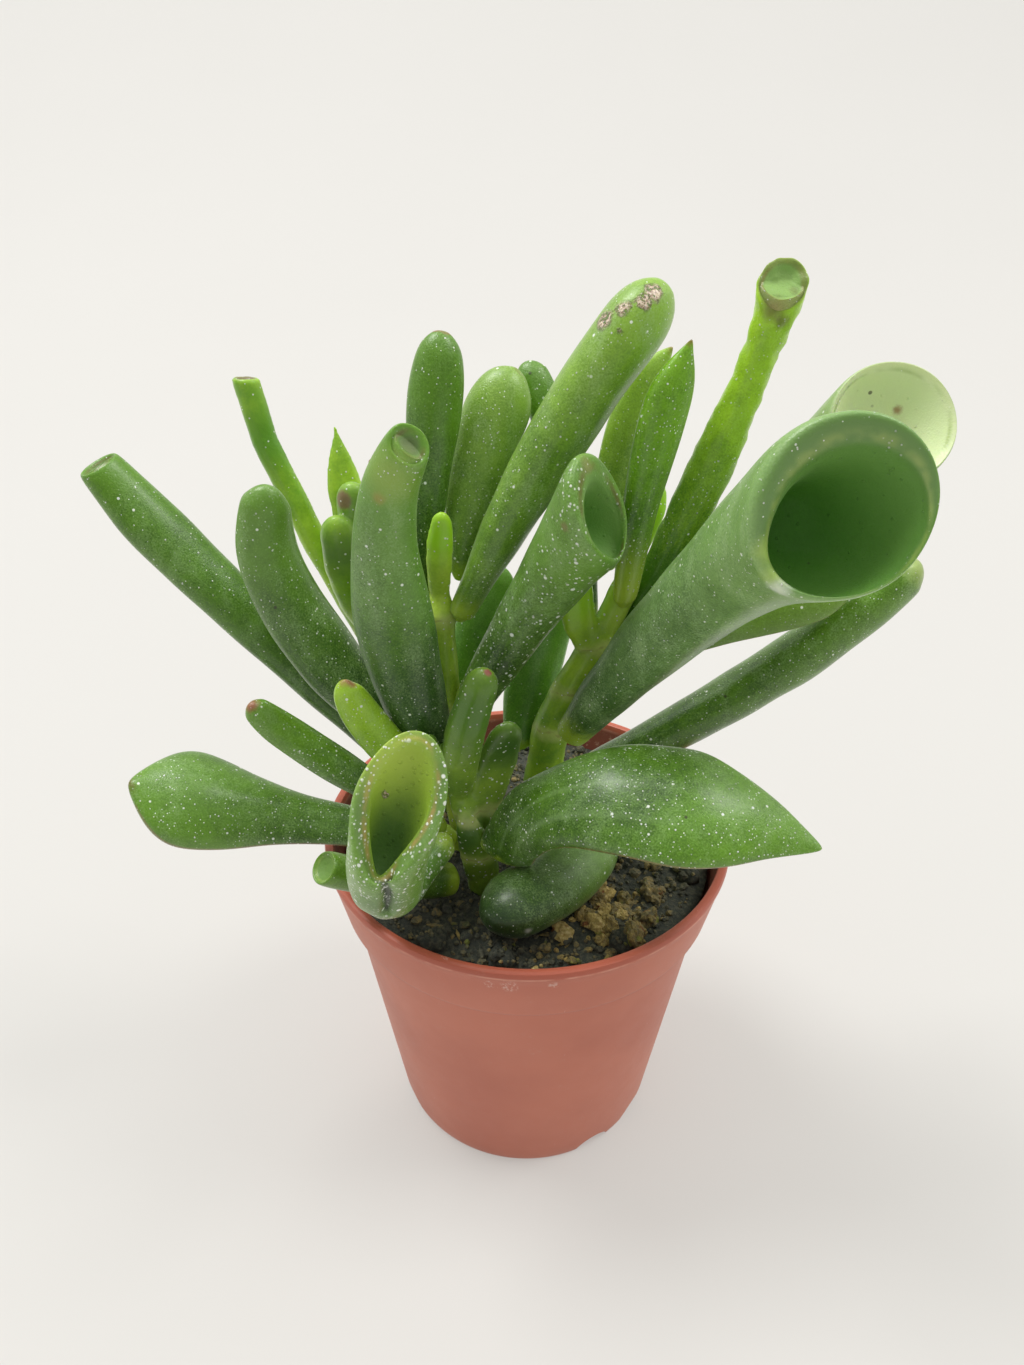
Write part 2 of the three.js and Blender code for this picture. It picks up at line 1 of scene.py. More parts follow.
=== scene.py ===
# %% [markdown]
# # A potted finger jade
#
# This lesson dresses a plain solid model of a small succulent in its nursery pot. The solids already
# have every leaf, stem and the pot in the right place. Here each of them gets a smooth skin, the soil
# gets its crumbs, and every surface gets a material that is worked out from its own coordinates.
#
# The first cell loads the solids as a fixed frame. They are in metres, with Z up and the pot's foot
# on the floor, so nothing has to be moved or scaled.

import math
import random

import bmesh
import bpy
import numpy as np
from mathutils import Matrix, Vector, noise


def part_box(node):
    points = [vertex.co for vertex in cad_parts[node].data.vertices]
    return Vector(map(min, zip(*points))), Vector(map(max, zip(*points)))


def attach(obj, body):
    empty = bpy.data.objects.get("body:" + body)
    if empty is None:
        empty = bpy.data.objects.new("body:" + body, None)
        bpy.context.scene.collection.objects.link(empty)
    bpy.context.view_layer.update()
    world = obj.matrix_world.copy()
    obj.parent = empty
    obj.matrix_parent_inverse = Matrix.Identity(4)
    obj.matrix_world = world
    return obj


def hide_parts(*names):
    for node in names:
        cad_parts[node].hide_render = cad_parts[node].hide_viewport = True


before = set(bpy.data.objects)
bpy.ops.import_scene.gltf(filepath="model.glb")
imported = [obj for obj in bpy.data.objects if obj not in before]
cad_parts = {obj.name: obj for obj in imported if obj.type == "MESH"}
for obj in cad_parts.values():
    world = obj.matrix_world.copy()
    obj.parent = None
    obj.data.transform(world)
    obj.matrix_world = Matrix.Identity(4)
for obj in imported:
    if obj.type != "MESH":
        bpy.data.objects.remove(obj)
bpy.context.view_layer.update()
MM = 0.001

# %% [markdown]
# Most of the work below is done with Blender's own operators, as it would be by hand. An operator
# acts on whatever is selected, so these small helpers select one piece, open it for editing, and
# apply a modifier to it.

# %% Helpers for selecting, editing and applying
MERGE_WITHIN = 0.002


def only(piece):
    """Selects this piece and nothing else."""
    bpy.ops.object.select_all(action="DESELECT")
    piece.select_set(True)
    bpy.context.view_layer.objects.active = piece


def corners(piece):
    """The piece's corner points as a table of numbers."""
    table = np.empty(len(piece.data.vertices) * 3)
    piece.data.vertices.foreach_get("co", table)
    return table.reshape(-1, 3)


def normals_of(piece):
    """The directions in which the skin faces at its corners, as a table of numbers."""
    normals = np.empty(len(piece.data.vertices) * 3)
    piece.data.vertices.foreach_get("normal", normals)
    return normals.reshape(-1, 3)


def move_corners(piece, table):
    piece.data.vertices.foreach_set("co", np.ascontiguousarray(table, dtype=float).ravel())
    piece.data.update()


def apply_modifier(piece, kind, **settings):
    """Adds a modifier, sets it and applies it at once."""
    only(piece)
    modifier = piece.modifiers.new(kind.title(), kind)
    for name, value in settings.items():
        setattr(modifier, name, value)
    bpy.ops.object.modifier_apply(modifier=modifier.name)


def clean_copy(node, name):
    """A copy of a solid with its loose triangles merged into one skin."""
    piece = bpy.data.objects.new(name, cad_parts[node].data.copy())
    bpy.context.scene.collection.objects.link(piece)
    piece.data.materials.clear()
    only(piece)
    bpy.ops.object.mode_set(mode="EDIT")
    bpy.ops.mesh.select_all(action="SELECT")
    bpy.ops.mesh.remove_doubles(threshold=MERGE_WITHIN * MM)
    bpy.ops.object.mode_set(mode="OBJECT")
    return piece


def attribute(piece, name, values):
    """One number for each corner, which a material can read by this name."""
    layer = piece.data.attributes.new(name, "FLOAT", "POINT")
    layer.data.foreach_set("value", np.asarray(values, dtype=np.float32))


# %% [markdown]
# A material's arithmetic is easier to read as an expression than as a web of nodes. `Number` wraps
# the output of a node, and each sign in an expression adds one Math node. `Web` has one method that
# adds any other node, and one for mixing two colours. `Finish` is a material, with short names for
# the patterns that are used often.

# %% Numbers and finishes for shader maths
class Number:
    """A number that varies over a surface."""

    def __init__(self, finish, socket):
        self.finish = finish
        self.socket = socket

    def math(self, operation, first, second):
        return self.finish.node("ShaderNodeMath", {"operation": operation}, {0: first, 1: second})

    def __add__(self, other):
        return self.math("ADD", self, other)

    __radd__ = __add__

    def __sub__(self, other):
        return self.math("SUBTRACT", self, other)

    def __rsub__(self, other):
        return self.math("SUBTRACT", other, self)

    def __mul__(self, other):
        return self.math("MULTIPLY", self, other)

    __rmul__ = __mul__

    def either(self, other):
        return self.math("MAXIMUM", self, other)

    def size(self):
        return self.math("ABSOLUTE", self, 0)

    def rise(self, low, high):
        """0 below low, 1 above high, and smooth between them; low may be the larger."""
        return self.finish.node(
            "ShaderNodeMapRange", {"interpolation_type": "SMOOTHSTEP"},
            {"Value": self, "From Min": low, "From Max": high})


class Web:
    """A node tree to which nodes are added one by one."""

    def __init__(self, tree):
        self.tree = tree

    def node(self, kind, settings, sockets, output=0):
        """Adds a node: its settings first, then the values or links of its sockets."""
        made = self.tree.nodes.new(kind)
        for name, value in settings.items():
            if name == "stops":
                self.set_stops(made.color_ramp.elements, value)
            else:
                setattr(made, name, value)
        for name, value in sockets.items():
            if isinstance(value, Number):
                self.tree.links.new(value.socket, made.inputs[name])
            else:
                made.inputs[name].default_value = value
        return Number(self, made.outputs[output])

    def set_stops(self, stops, colours):
        """Gives a colour ramp its stops: each is a place from 0 to 1 and a colour."""
        while len(stops) < len(colours):
            stops.new(0.5)
        for stop, (position, rgb) in zip(stops, colours):
            stop.position = position
            stop.color = (*rgb, 1)

    def mix(self, first, second, factor):
        """A colour between two colours."""
        first, second = (end if isinstance(end, Number) else (*end, 1) for end in (first, second))
        return self.node("ShaderNodeMix", {"data_type": "RGBA"}, {0: factor, 6: first, 7: second}, 2)


class Finish(Web):
    """A material built round one Principled shader."""

    def __init__(self, name, **fixed):
        self.material = bpy.data.materials.new(name)
        self.material.use_nodes = True
        super().__init__(self.material.node_tree)
        self.shader = self.tree.nodes["Principled BSDF"]
        for socket, value in fixed.items():
            self.shader.inputs[socket.replace("_", " ")].default_value = value
        self.place = self.millimetres()
        self.rags = None

    def millimetres(self):
        """The place on the object, in millimetres."""
        where = self.node("ShaderNodeTexCoord", {}, {}, "Object")
        return self.node("ShaderNodeVectorMath", {"operation": "SCALE"}, {0: where, "Scale": 1 / MM})

    def stretched(self, x, y, z):
        """The same place, with each direction made this many times as long."""
        return self.node("ShaderNodeVectorMath", {"operation": "MULTIPLY"}, {0: self.place, 1: (x, y, z)})

    def reading(self, name):
        """The number that a piece carries under this name."""
        return self.node("ShaderNodeAttribute", {"attribute_name": name}, {}, "Fac")

    def clouds(self, per_mm, detail=2, rough=0.5, place=None):
        """Soft noise from 0 to 1."""
        return self.node(
            "ShaderNodeTexNoise", {},
            {"Vector": place or self.place, "Scale": per_mm, "Detail": detail, "Roughness": rough}, "Fac")

    def specks(self, per_mm, radius, share):
        """Round specks: about `share` of the cells have one, of this radius in millimetres."""
        away = self.node("ShaderNodeTexVoronoi", {}, {"Vector": self.place, "Scale": per_mm}, "Distance")
        which = Number(self, away.socket.node.outputs["Color"])
        lot = self.node("ShaderNodeSeparateColor", {}, {"Color": which}, "Red")
        reach = radius * per_mm
        return away.rise(reach, reach * 0.55) * lot.rise(1 - share, 1 - share * 0.8)

    def near(self, spot, radius, ragged=0.0, core=0.6):
        """1 at a spot given in millimetres, falling to 0 at this radius, with a ragged edge."""
        gap = self.node("ShaderNodeVectorMath", {"operation": "DISTANCE"}, {0: self.place, 1: spot}, "Value")
        if ragged:
            self.rags = self.rags or self.clouds(0.9, 4, 0.7) - 0.5
            gap = gap + self.rags * ragged
        return gap.rise(radius, radius * core)

    def feed(self, socket, value):
        self.tree.links.new(value.socket, self.shader.inputs[socket])

    def bump(self, height, distance):
        """Raises the surface in the light by this many millimetres where height is 1."""
        sockets = {"Strength": 1.0, "Distance": distance * MM, "Height": height}
        self.feed("Normal", self.node("ShaderNodeBump", {}, sockets))


# %% [markdown]
# ## Leaves
#
# The leaves of this plant are fleshy tubes. Most end in a round or pointed tip, but some have grown
# with their two edges fused and open into a small cup, like a trumpet. In the solid model each leaf
# is a stack of ten-sided rings between two end points. That is too coarse to look at, but it is
# easy to smooth: the rings are turned back into four-sided faces, and a Subdivision Surface rounds
# them. Subdivision pulls the skin inwards, so the cage is first pushed out until the smooth skin
# passes through the corners of the solid. That way the leaf keeps its true size.
#
# The rings also tell how far along the leaf a point is. That number is kept on the skin, so that
# the finish can follow the leaf: yellow-green at its root, flushed at its tip, darker in its cup,
# where the darker bottom is painted shade.

# %% Find the rings of a leaf and number them from its root
CUP_RINGS = 5
stem_points = np.concatenate([corners(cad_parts[n]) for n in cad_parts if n.startswith("stem")])


def rings_of(piece):
    """For each corner the number of its ring, counted from the end that is nearest to a stem."""
    neighbours = [[] for _ in piece.data.vertices]
    for edge in piece.data.edges:
        a, b = edge.vertices
        neighbours[a].append(b)
        neighbours[b].append(a)
    places = corners(piece)
    poles = sorted(range(len(neighbours)), key=lambda v: -len(neighbours[v]))[:2]
    root = min(poles, key=lambda v: np.linalg.norm(stem_points - places[v], axis=1).min())
    ring = np.full(len(neighbours), -1)
    ring[root] = 0
    front = [root]
    while front:
        following = []
        for v in front:
            for other in neighbours[v]:
                if ring[other] < 0:
                    ring[other] = ring[v] + 1
                    following.append(other)
        front = following
    return ring


def carry_leaf_numbers(piece, open_end):
    """Keeps on the skin: along, from 0 at the root to 1 at the end; inside, from 0 at the outer edge of
    a cup, 0.2 on its lip and 0.4 at its mouth to 1 at its bottom; side, from -1 to 1 across the leaf."""
    ring = rings_of(piece)
    places = corners(piece)
    count = ring.max() + 1
    centres = np.array([places[ring == k].mean(axis=0) for k in range(count)])
    lip = count - 1 - CUP_RINGS if open_end else count - 1
    steps = np.linalg.norm(np.diff(centres[:lip + 1], axis=0), axis=1)
    run = np.concatenate([[0], np.cumsum(steps)]) / steps.sum()
    along = np.array([run[min(k, lip)] for k in ring])
    inside = np.clip((ring - lip) / CUP_RINGS, 0, 1) if open_end else np.zeros(len(ring))
    side = np.zeros(len(ring))
    for k in range(1, count - 1):
        here = np.flatnonzero(ring == k)
        offsets = places[here] - centres[k]
        across = np.linalg.svd(offsets)[2][0]
        reach = offsets @ across
        if k > 1 and across @ last_across < 0:
            reach = -reach
            across = -across
        last_across = across
        side[here] = reach / np.abs(reach).max()
    attribute(piece, "along", along)
    attribute(piece, "inside", inside)
    attribute(piece, "side", side)


# %% Smooth a leaf without shrinking it
LEAF_LEVELS = 3
QUAD_ANGLE = math.radians(35)


def smoothed(piece, levels, rounds=3):
    """Pushes the cage out until its smooth skin passes through the corners, then applies it."""
    target = corners(piece)
    cage = target.copy()
    preview = piece.modifiers.new("Preview", "SUBSURF")
    preview.levels = 1
    for _ in range(rounds):
        bpy.context.view_layer.update()
        skin = piece.evaluated_get(bpy.context.evaluated_depsgraph_get()).to_mesh()
        table = np.empty(len(skin.vertices) * 3)
        skin.vertices.foreach_get("co", table)
        cage += target - table.reshape(-1, 3)[:len(target)]
        move_corners(piece, cage)
    piece.modifiers.remove(preview)
    apply_modifier(piece, "SUBSURF", levels=levels, render_levels=levels)


def smooth_leaf(node, open_end):
    piece = clean_copy(node, node + "_skin")
    carry_leaf_numbers(piece, open_end)
    bpy.ops.object.mode_set(mode="EDIT")
    bpy.ops.mesh.select_all(action="SELECT")
    bpy.ops.mesh.tris_convert_to_quads(face_threshold=QUAD_ANGLE, shape_threshold=math.pi)
    bpy.ops.object.mode_set(mode="OBJECT")
    smoothed(piece, LEAF_LEVELS)
    only(piece)
    bpy.ops.object.shade_smooth()
    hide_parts(node)
    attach(piece, "root")
    return piece


# %% [markdown]
# A jade leaf is not a perfect tube. Its skin swells and dips a little where it has dried and filled
# again, and thin leaves carry a soft crease. A few low waves from a noise function take away the
# look of a turned part.

# %% Let the skin swell and dip
def dimple(piece, height, size):
    """Moves each point along its normal by up to height millimetres, in swells of this size."""
    table = corners(piece)
    shift = [noise.noise(Vector(point) / (size * MM)) for point in table]
    move_corners(piece, table + normals_of(piece) * (np.array(shift) * height * MM)[:, None])


# %% [markdown]
# Three kinds of leaf end need more than smoothing. The boat-shaped leaf has grown shut below its
# mouth, and a fine groove marks the seam. The cut or stunted ends are almost flat dimples, much
# shallower than the cups of the solids, so their hollow is drawn up towards its lip. The lips of the
# wide cups are thinner than the solids make them, so the inner skin moves out into the wall.

# %% Widen a mouth, press a seam, flatten a hollow
LIP_AT = 0.2
FAR_AWAY = 100.0


def inside_of(piece):
    """How far inside its cup each corner of a leaf lies, as carry_leaf_numbers left it."""
    inside = np.empty(len(piece.data.vertices), dtype=np.float32)
    piece.data.attributes["inside"].data.foreach_get("value", inside)
    return inside


def widen_mouth(piece, amount):
    """Moves the inner skin outwards into the wall, most at the mouth and not at the bottom."""
    share = np.interp(inside_of(piece), [0, LIP_AT, 0.4, 0.6, 0.8, 1], [0, 0.5, 1, 0.7, 0.4, 0])
    move_corners(piece, corners(piece) - normals_of(piece) * (share * amount * MM)[:, None])


def press_seam(piece, points, widths, depth):
    """Presses a groove along a line of points; it narrows from the first width to the second."""
    table = corners(piece)
    line = np.array(points) * MM
    away = np.full(len(table), FAR_AWAY)
    last = len(line) - 1
    for k in range(last):
        start, end = line[k], line[k + 1]
        share = np.clip((table - start) @ (end - start) / ((end - start) @ (end - start)), 0, 1)
        foot = start + share[:, None] * (end - start)
        width = np.interp((k + share) / last, [0, 1], widths) * MM
        away = np.minimum(away, np.linalg.norm(table - foot, axis=1) / width)
    sunk = np.exp(-away ** 2)
    attribute(piece, "seam", sunk)
    move_corners(piece, table - normals_of(piece) * (sunk * depth * MM)[:, None])


def flatten_hollow(piece, share):
    """Draws the bottom of a cup up towards its lip by this share of its depth."""
    table = corners(piece)
    inside = inside_of(piece)
    lip = table[np.abs(inside - LIP_AT) < 0.08].mean(axis=0)
    down = table[inside > 0.95].mean(axis=0) - lip
    down = down / np.linalg.norm(down)
    depth = np.clip((table - lip) @ down, 0, None) * (inside > LIP_AT)
    move_corners(piece, table - depth[:, None] * share * down)


# %% [markdown]
# ## The leaf finish
#
# Up close a leaf has several layers of colour. Under everything is a green that drifts from dark to
# light and grows lighter towards the end of the leaf, partly as painted light. Near the root it turns
# yellow. A thin grey bloom of wax lies on it in patches and streaks, and pale lines of painted
# highlight run along ridges. The bottom of a cup and the boat's seam are painted darker as shade.
# Old marks are brown and corky. Over all this, salt has dried in small white dots, which catch the
# eye first. The layers are mixed in that order, and each is a number from 0 to 1 worked out from
# noise or from the numbers that the skin carries.

# %% Build a leaf finish from its colours
DEEP = (0.02, 0.066, 0.004)
FRESH = (0.124, 0.29, 0.013)
LIME = (0.44, 0.62, 0.04)
BLOOM = (0.36, 0.52, 0.24)
SALT = (0.92, 0.97, 0.88)
PORE = (0.3, 0.48, 0.1)
# Painted shade in the groove of a seam.
SEAM_SHADE = (0.016, 0.04, 0.005)
SPECK_BROWN = (0.035, 0.028, 0.014)
CORK = (0.36, 0.24, 0.15)
CORK_PALE = (0.82, 0.68, 0.52)
CORK_EDGE = (0.06, 0.05, 0.02)
BLUSH = (0.26, 0.075, 0.045)
COAT = 0.26
FLESH = dict(
    Subsurface_Radius=(0.8, 1.0, 0.25), Specular_IOR_Level=0.45, Coat_Roughness=0.24,
    Sheen_Weight=0.1, Sheen_Roughness=0.3, Sheen_Tint=(0.8, 0.95, 0.66, 1),
)


def leaf_finish(name, dark=DEEP, light=FRESH, root=0.12, bloom=0.3, salt=0.5, salt_size=0.17,
                tip=None, tip_start=0.93, edge=None, rim=None, lip=None, inner=DEEP, bottom=None,
                end_light=0.4, ridge_highlights=(), scars=(), patches=(), seam=False, specks=0.25):
    """dark to light is the ground colour, root the share of the leaf that is yellow, fade how much
    lighter its end is, which is partly painted light on lit upper ends and, below zero, painted shade on
    a drooping end; bottom is painted shade at the bottom of a cup; ridges are pale lines of painted
    highlight; scars and patches are spots in millimetres, each with a radius."""
    finish = Finish(name, Subsurface_Weight=0.15, Subsurface_Scale=1.5 * MM, **FLESH)
    along = finish.reading("along")
    inside = finish.reading("inside")
    side = finish.reading("side")

    drift = finish.clouds(0.1, 2, 0.5)
    blotch = finish.clouds(0.6, 4, 0.6)
    grain = finish.clouds(4.5, 2, 0.6)
    # Partly painted light: the ground tone grows lighter towards the end of the leaf, as on lit upper ends,
    # and where that share is below zero the end is painted darker as shade.
    tone = (drift * 0.5 + along * end_light + blotch * 0.35 + grain * 0.5 - 0.2 - end_light * 0.55).rise(0.12, 0.82)
    colour = finish.mix(dark, light, tone)
    pores = finish.specks(2.3, 0.15, 1.0)
    colour = finish.mix(colour, PORE, pores * 0.2)
    rooting = (along + (blotch - 0.5) * 0.1).rise(root, root * 0.2)
    colour = finish.mix(colour, LIME, rooting * 0.85)

    streaks = finish.clouds(0.35, 4, 0.6, finish.stretched(1, 1, 0.35))
    waxy = (streaks * 0.7 + grain * 0.5).rise(0.55, 0.85) * bloom
    colour = finish.mix(colour, BLOOM, waxy)
    # Painted highlight: pale lines along the ridges of a leaf, where they catch the light.
    for where in ridge_highlights:
        line = (side - where).size().rise(0.1, 0.0) * along.rise(0.02, 0.12) * along.rise(0.75, 0.35)
        colour = finish.mix(colour, BLOOM, line * 0.22)
    if edge:
        line = side.size().rise(0.95, 1.0) * finish.clouds(0.5).rise(0.25, 0.5)
        colour = finish.mix(colour, edge, line * 0.6)

    cup = inside.rise(0.24, 0.42)
    finish.feed("Coat Weight", COAT - cup * 0.22)
    if lip:
        colour = finish.mix(colour, lip, inside.rise(0.0, 0.16))
    colour = finish.mix(colour, inner, cup)
    # Painted shade: the bottom of a cup is painted darker.
    if bottom:
        colour = finish.mix(colour, bottom, (inside + (blotch - 0.5) * 0.12).rise(0.45, 0.85))
    if rim:
        line = (inside - 0.26).size().rise(0.09, 0.0) * finish.clouds(0.35).rise(0.35, 0.6)
        colour = finish.mix(colour, rim, line * 0.6)
    if tip:
        flushed = (along + (blotch - 0.5) * 0.05).rise(tip_start, 1.0) * (1 - inside.rise(0.0, 0.1))
        colour = finish.mix(colour, tip, flushed * 0.85)

    for spot, radius, tint, share in patches:
        colour = finish.mix(colour, tint, finish.near(spot, radius, 1.0, 0.1) * share)
    # Painted shade: the groove of the boat's seam is painted dark.
    if seam:
        colour = finish.mix(colour, SEAM_SHADE, finish.reading("seam").rise(0.35, 0.9))

    brown = finish.specks(0.25, 0.28, specks)
    colour = finish.mix(colour, SPECK_BROWN, brown * 0.75)
    corky = None
    for spot, radius in scars:
        patch = finish.near(spot, radius, 2.2)
        corky = patch if corky is None else corky.either(patch)
    if corky:
        flaky = corky * finish.clouds(1.8, 5, 0.75).rise(0.42, 0.5)
        colour = finish.mix(colour, CORK_EDGE, corky * 0.45)
        flakes = finish.mix(CORK, CORK_PALE, finish.clouds(3.5, 3).rise(0.35, 0.6))
        colour = finish.mix(colour, flakes, flaky)

    patchy = finish.clouds(0.22, 2).rise(0.3, 0.6)
    large = finish.specks(0.55, salt_size * 1.35, salt * 0.6)
    small = finish.specks(1.1, salt_size * 0.9, salt)
    tiny = finish.specks(1.9, salt_size * 0.6, salt)
    dots = large.either(small * (0.3 + patchy * 0.7)).either(tiny * patchy) * (1 - cup)
    colour = finish.mix(colour, SALT, dots * 0.9)
    finish.feed("Base Color", colour)
    finish.feed("Roughness", 0.27 + waxy * 0.35 + grain * 0.12 + dots * 0.25 + cup * 0.35)

    relief = grain * 0.6 + blotch * 0.6 + small * 0.9
    if corky:
        relief = relief + flaky * 1.5
    finish.bump(relief, 0.1)
    return finish.material


# %% [markdown]
# The leaves differ, as on any plant. The two lowest ones are broad and flat with a thin edge, those
# in the middle are thick fingers, and a few open into cups. The table gives for each what sets it
# apart: its greens, how much bloom and salt it has, the colours in its cup and the marks that it
# carries. Some of these are painted light and shade: the lighter end, the darker bottom of a cup,
# the pale lines along ridges and the near-black end of the drooping leaf. Spots are in millimetres,
# in the same frame as the solids.

# %% Write down what sets each leaf apart
GREY_GREEN = (0.2, 0.37, 0.085)
TRUMPET_INSIDE = (0.135, 0.31, 0.05)
# Painted shade for the bottom of a trumpet's cup.
TRUMPET_CUP_SHADE = (0.07, 0.24, 0.016)
PALE_INSIDE = (0.72, 0.82, 0.48)
BOAT_INSIDE = (0.27, 0.42, 0.03)
# Painted shade for the bottom of the boat's cup.
BOAT_CUP_SHADE = (0.045, 0.12, 0.008)
BOAT_LIP = (0.15, 0.27, 0.06)
RIM_YELLOW = (0.38, 0.5, 0.13)
RIM_BROWN = (0.16, 0.075, 0.03)
PINK_BROWN = (0.34, 0.11, 0.075)
PIT = (0.05, 0.05, 0.02)

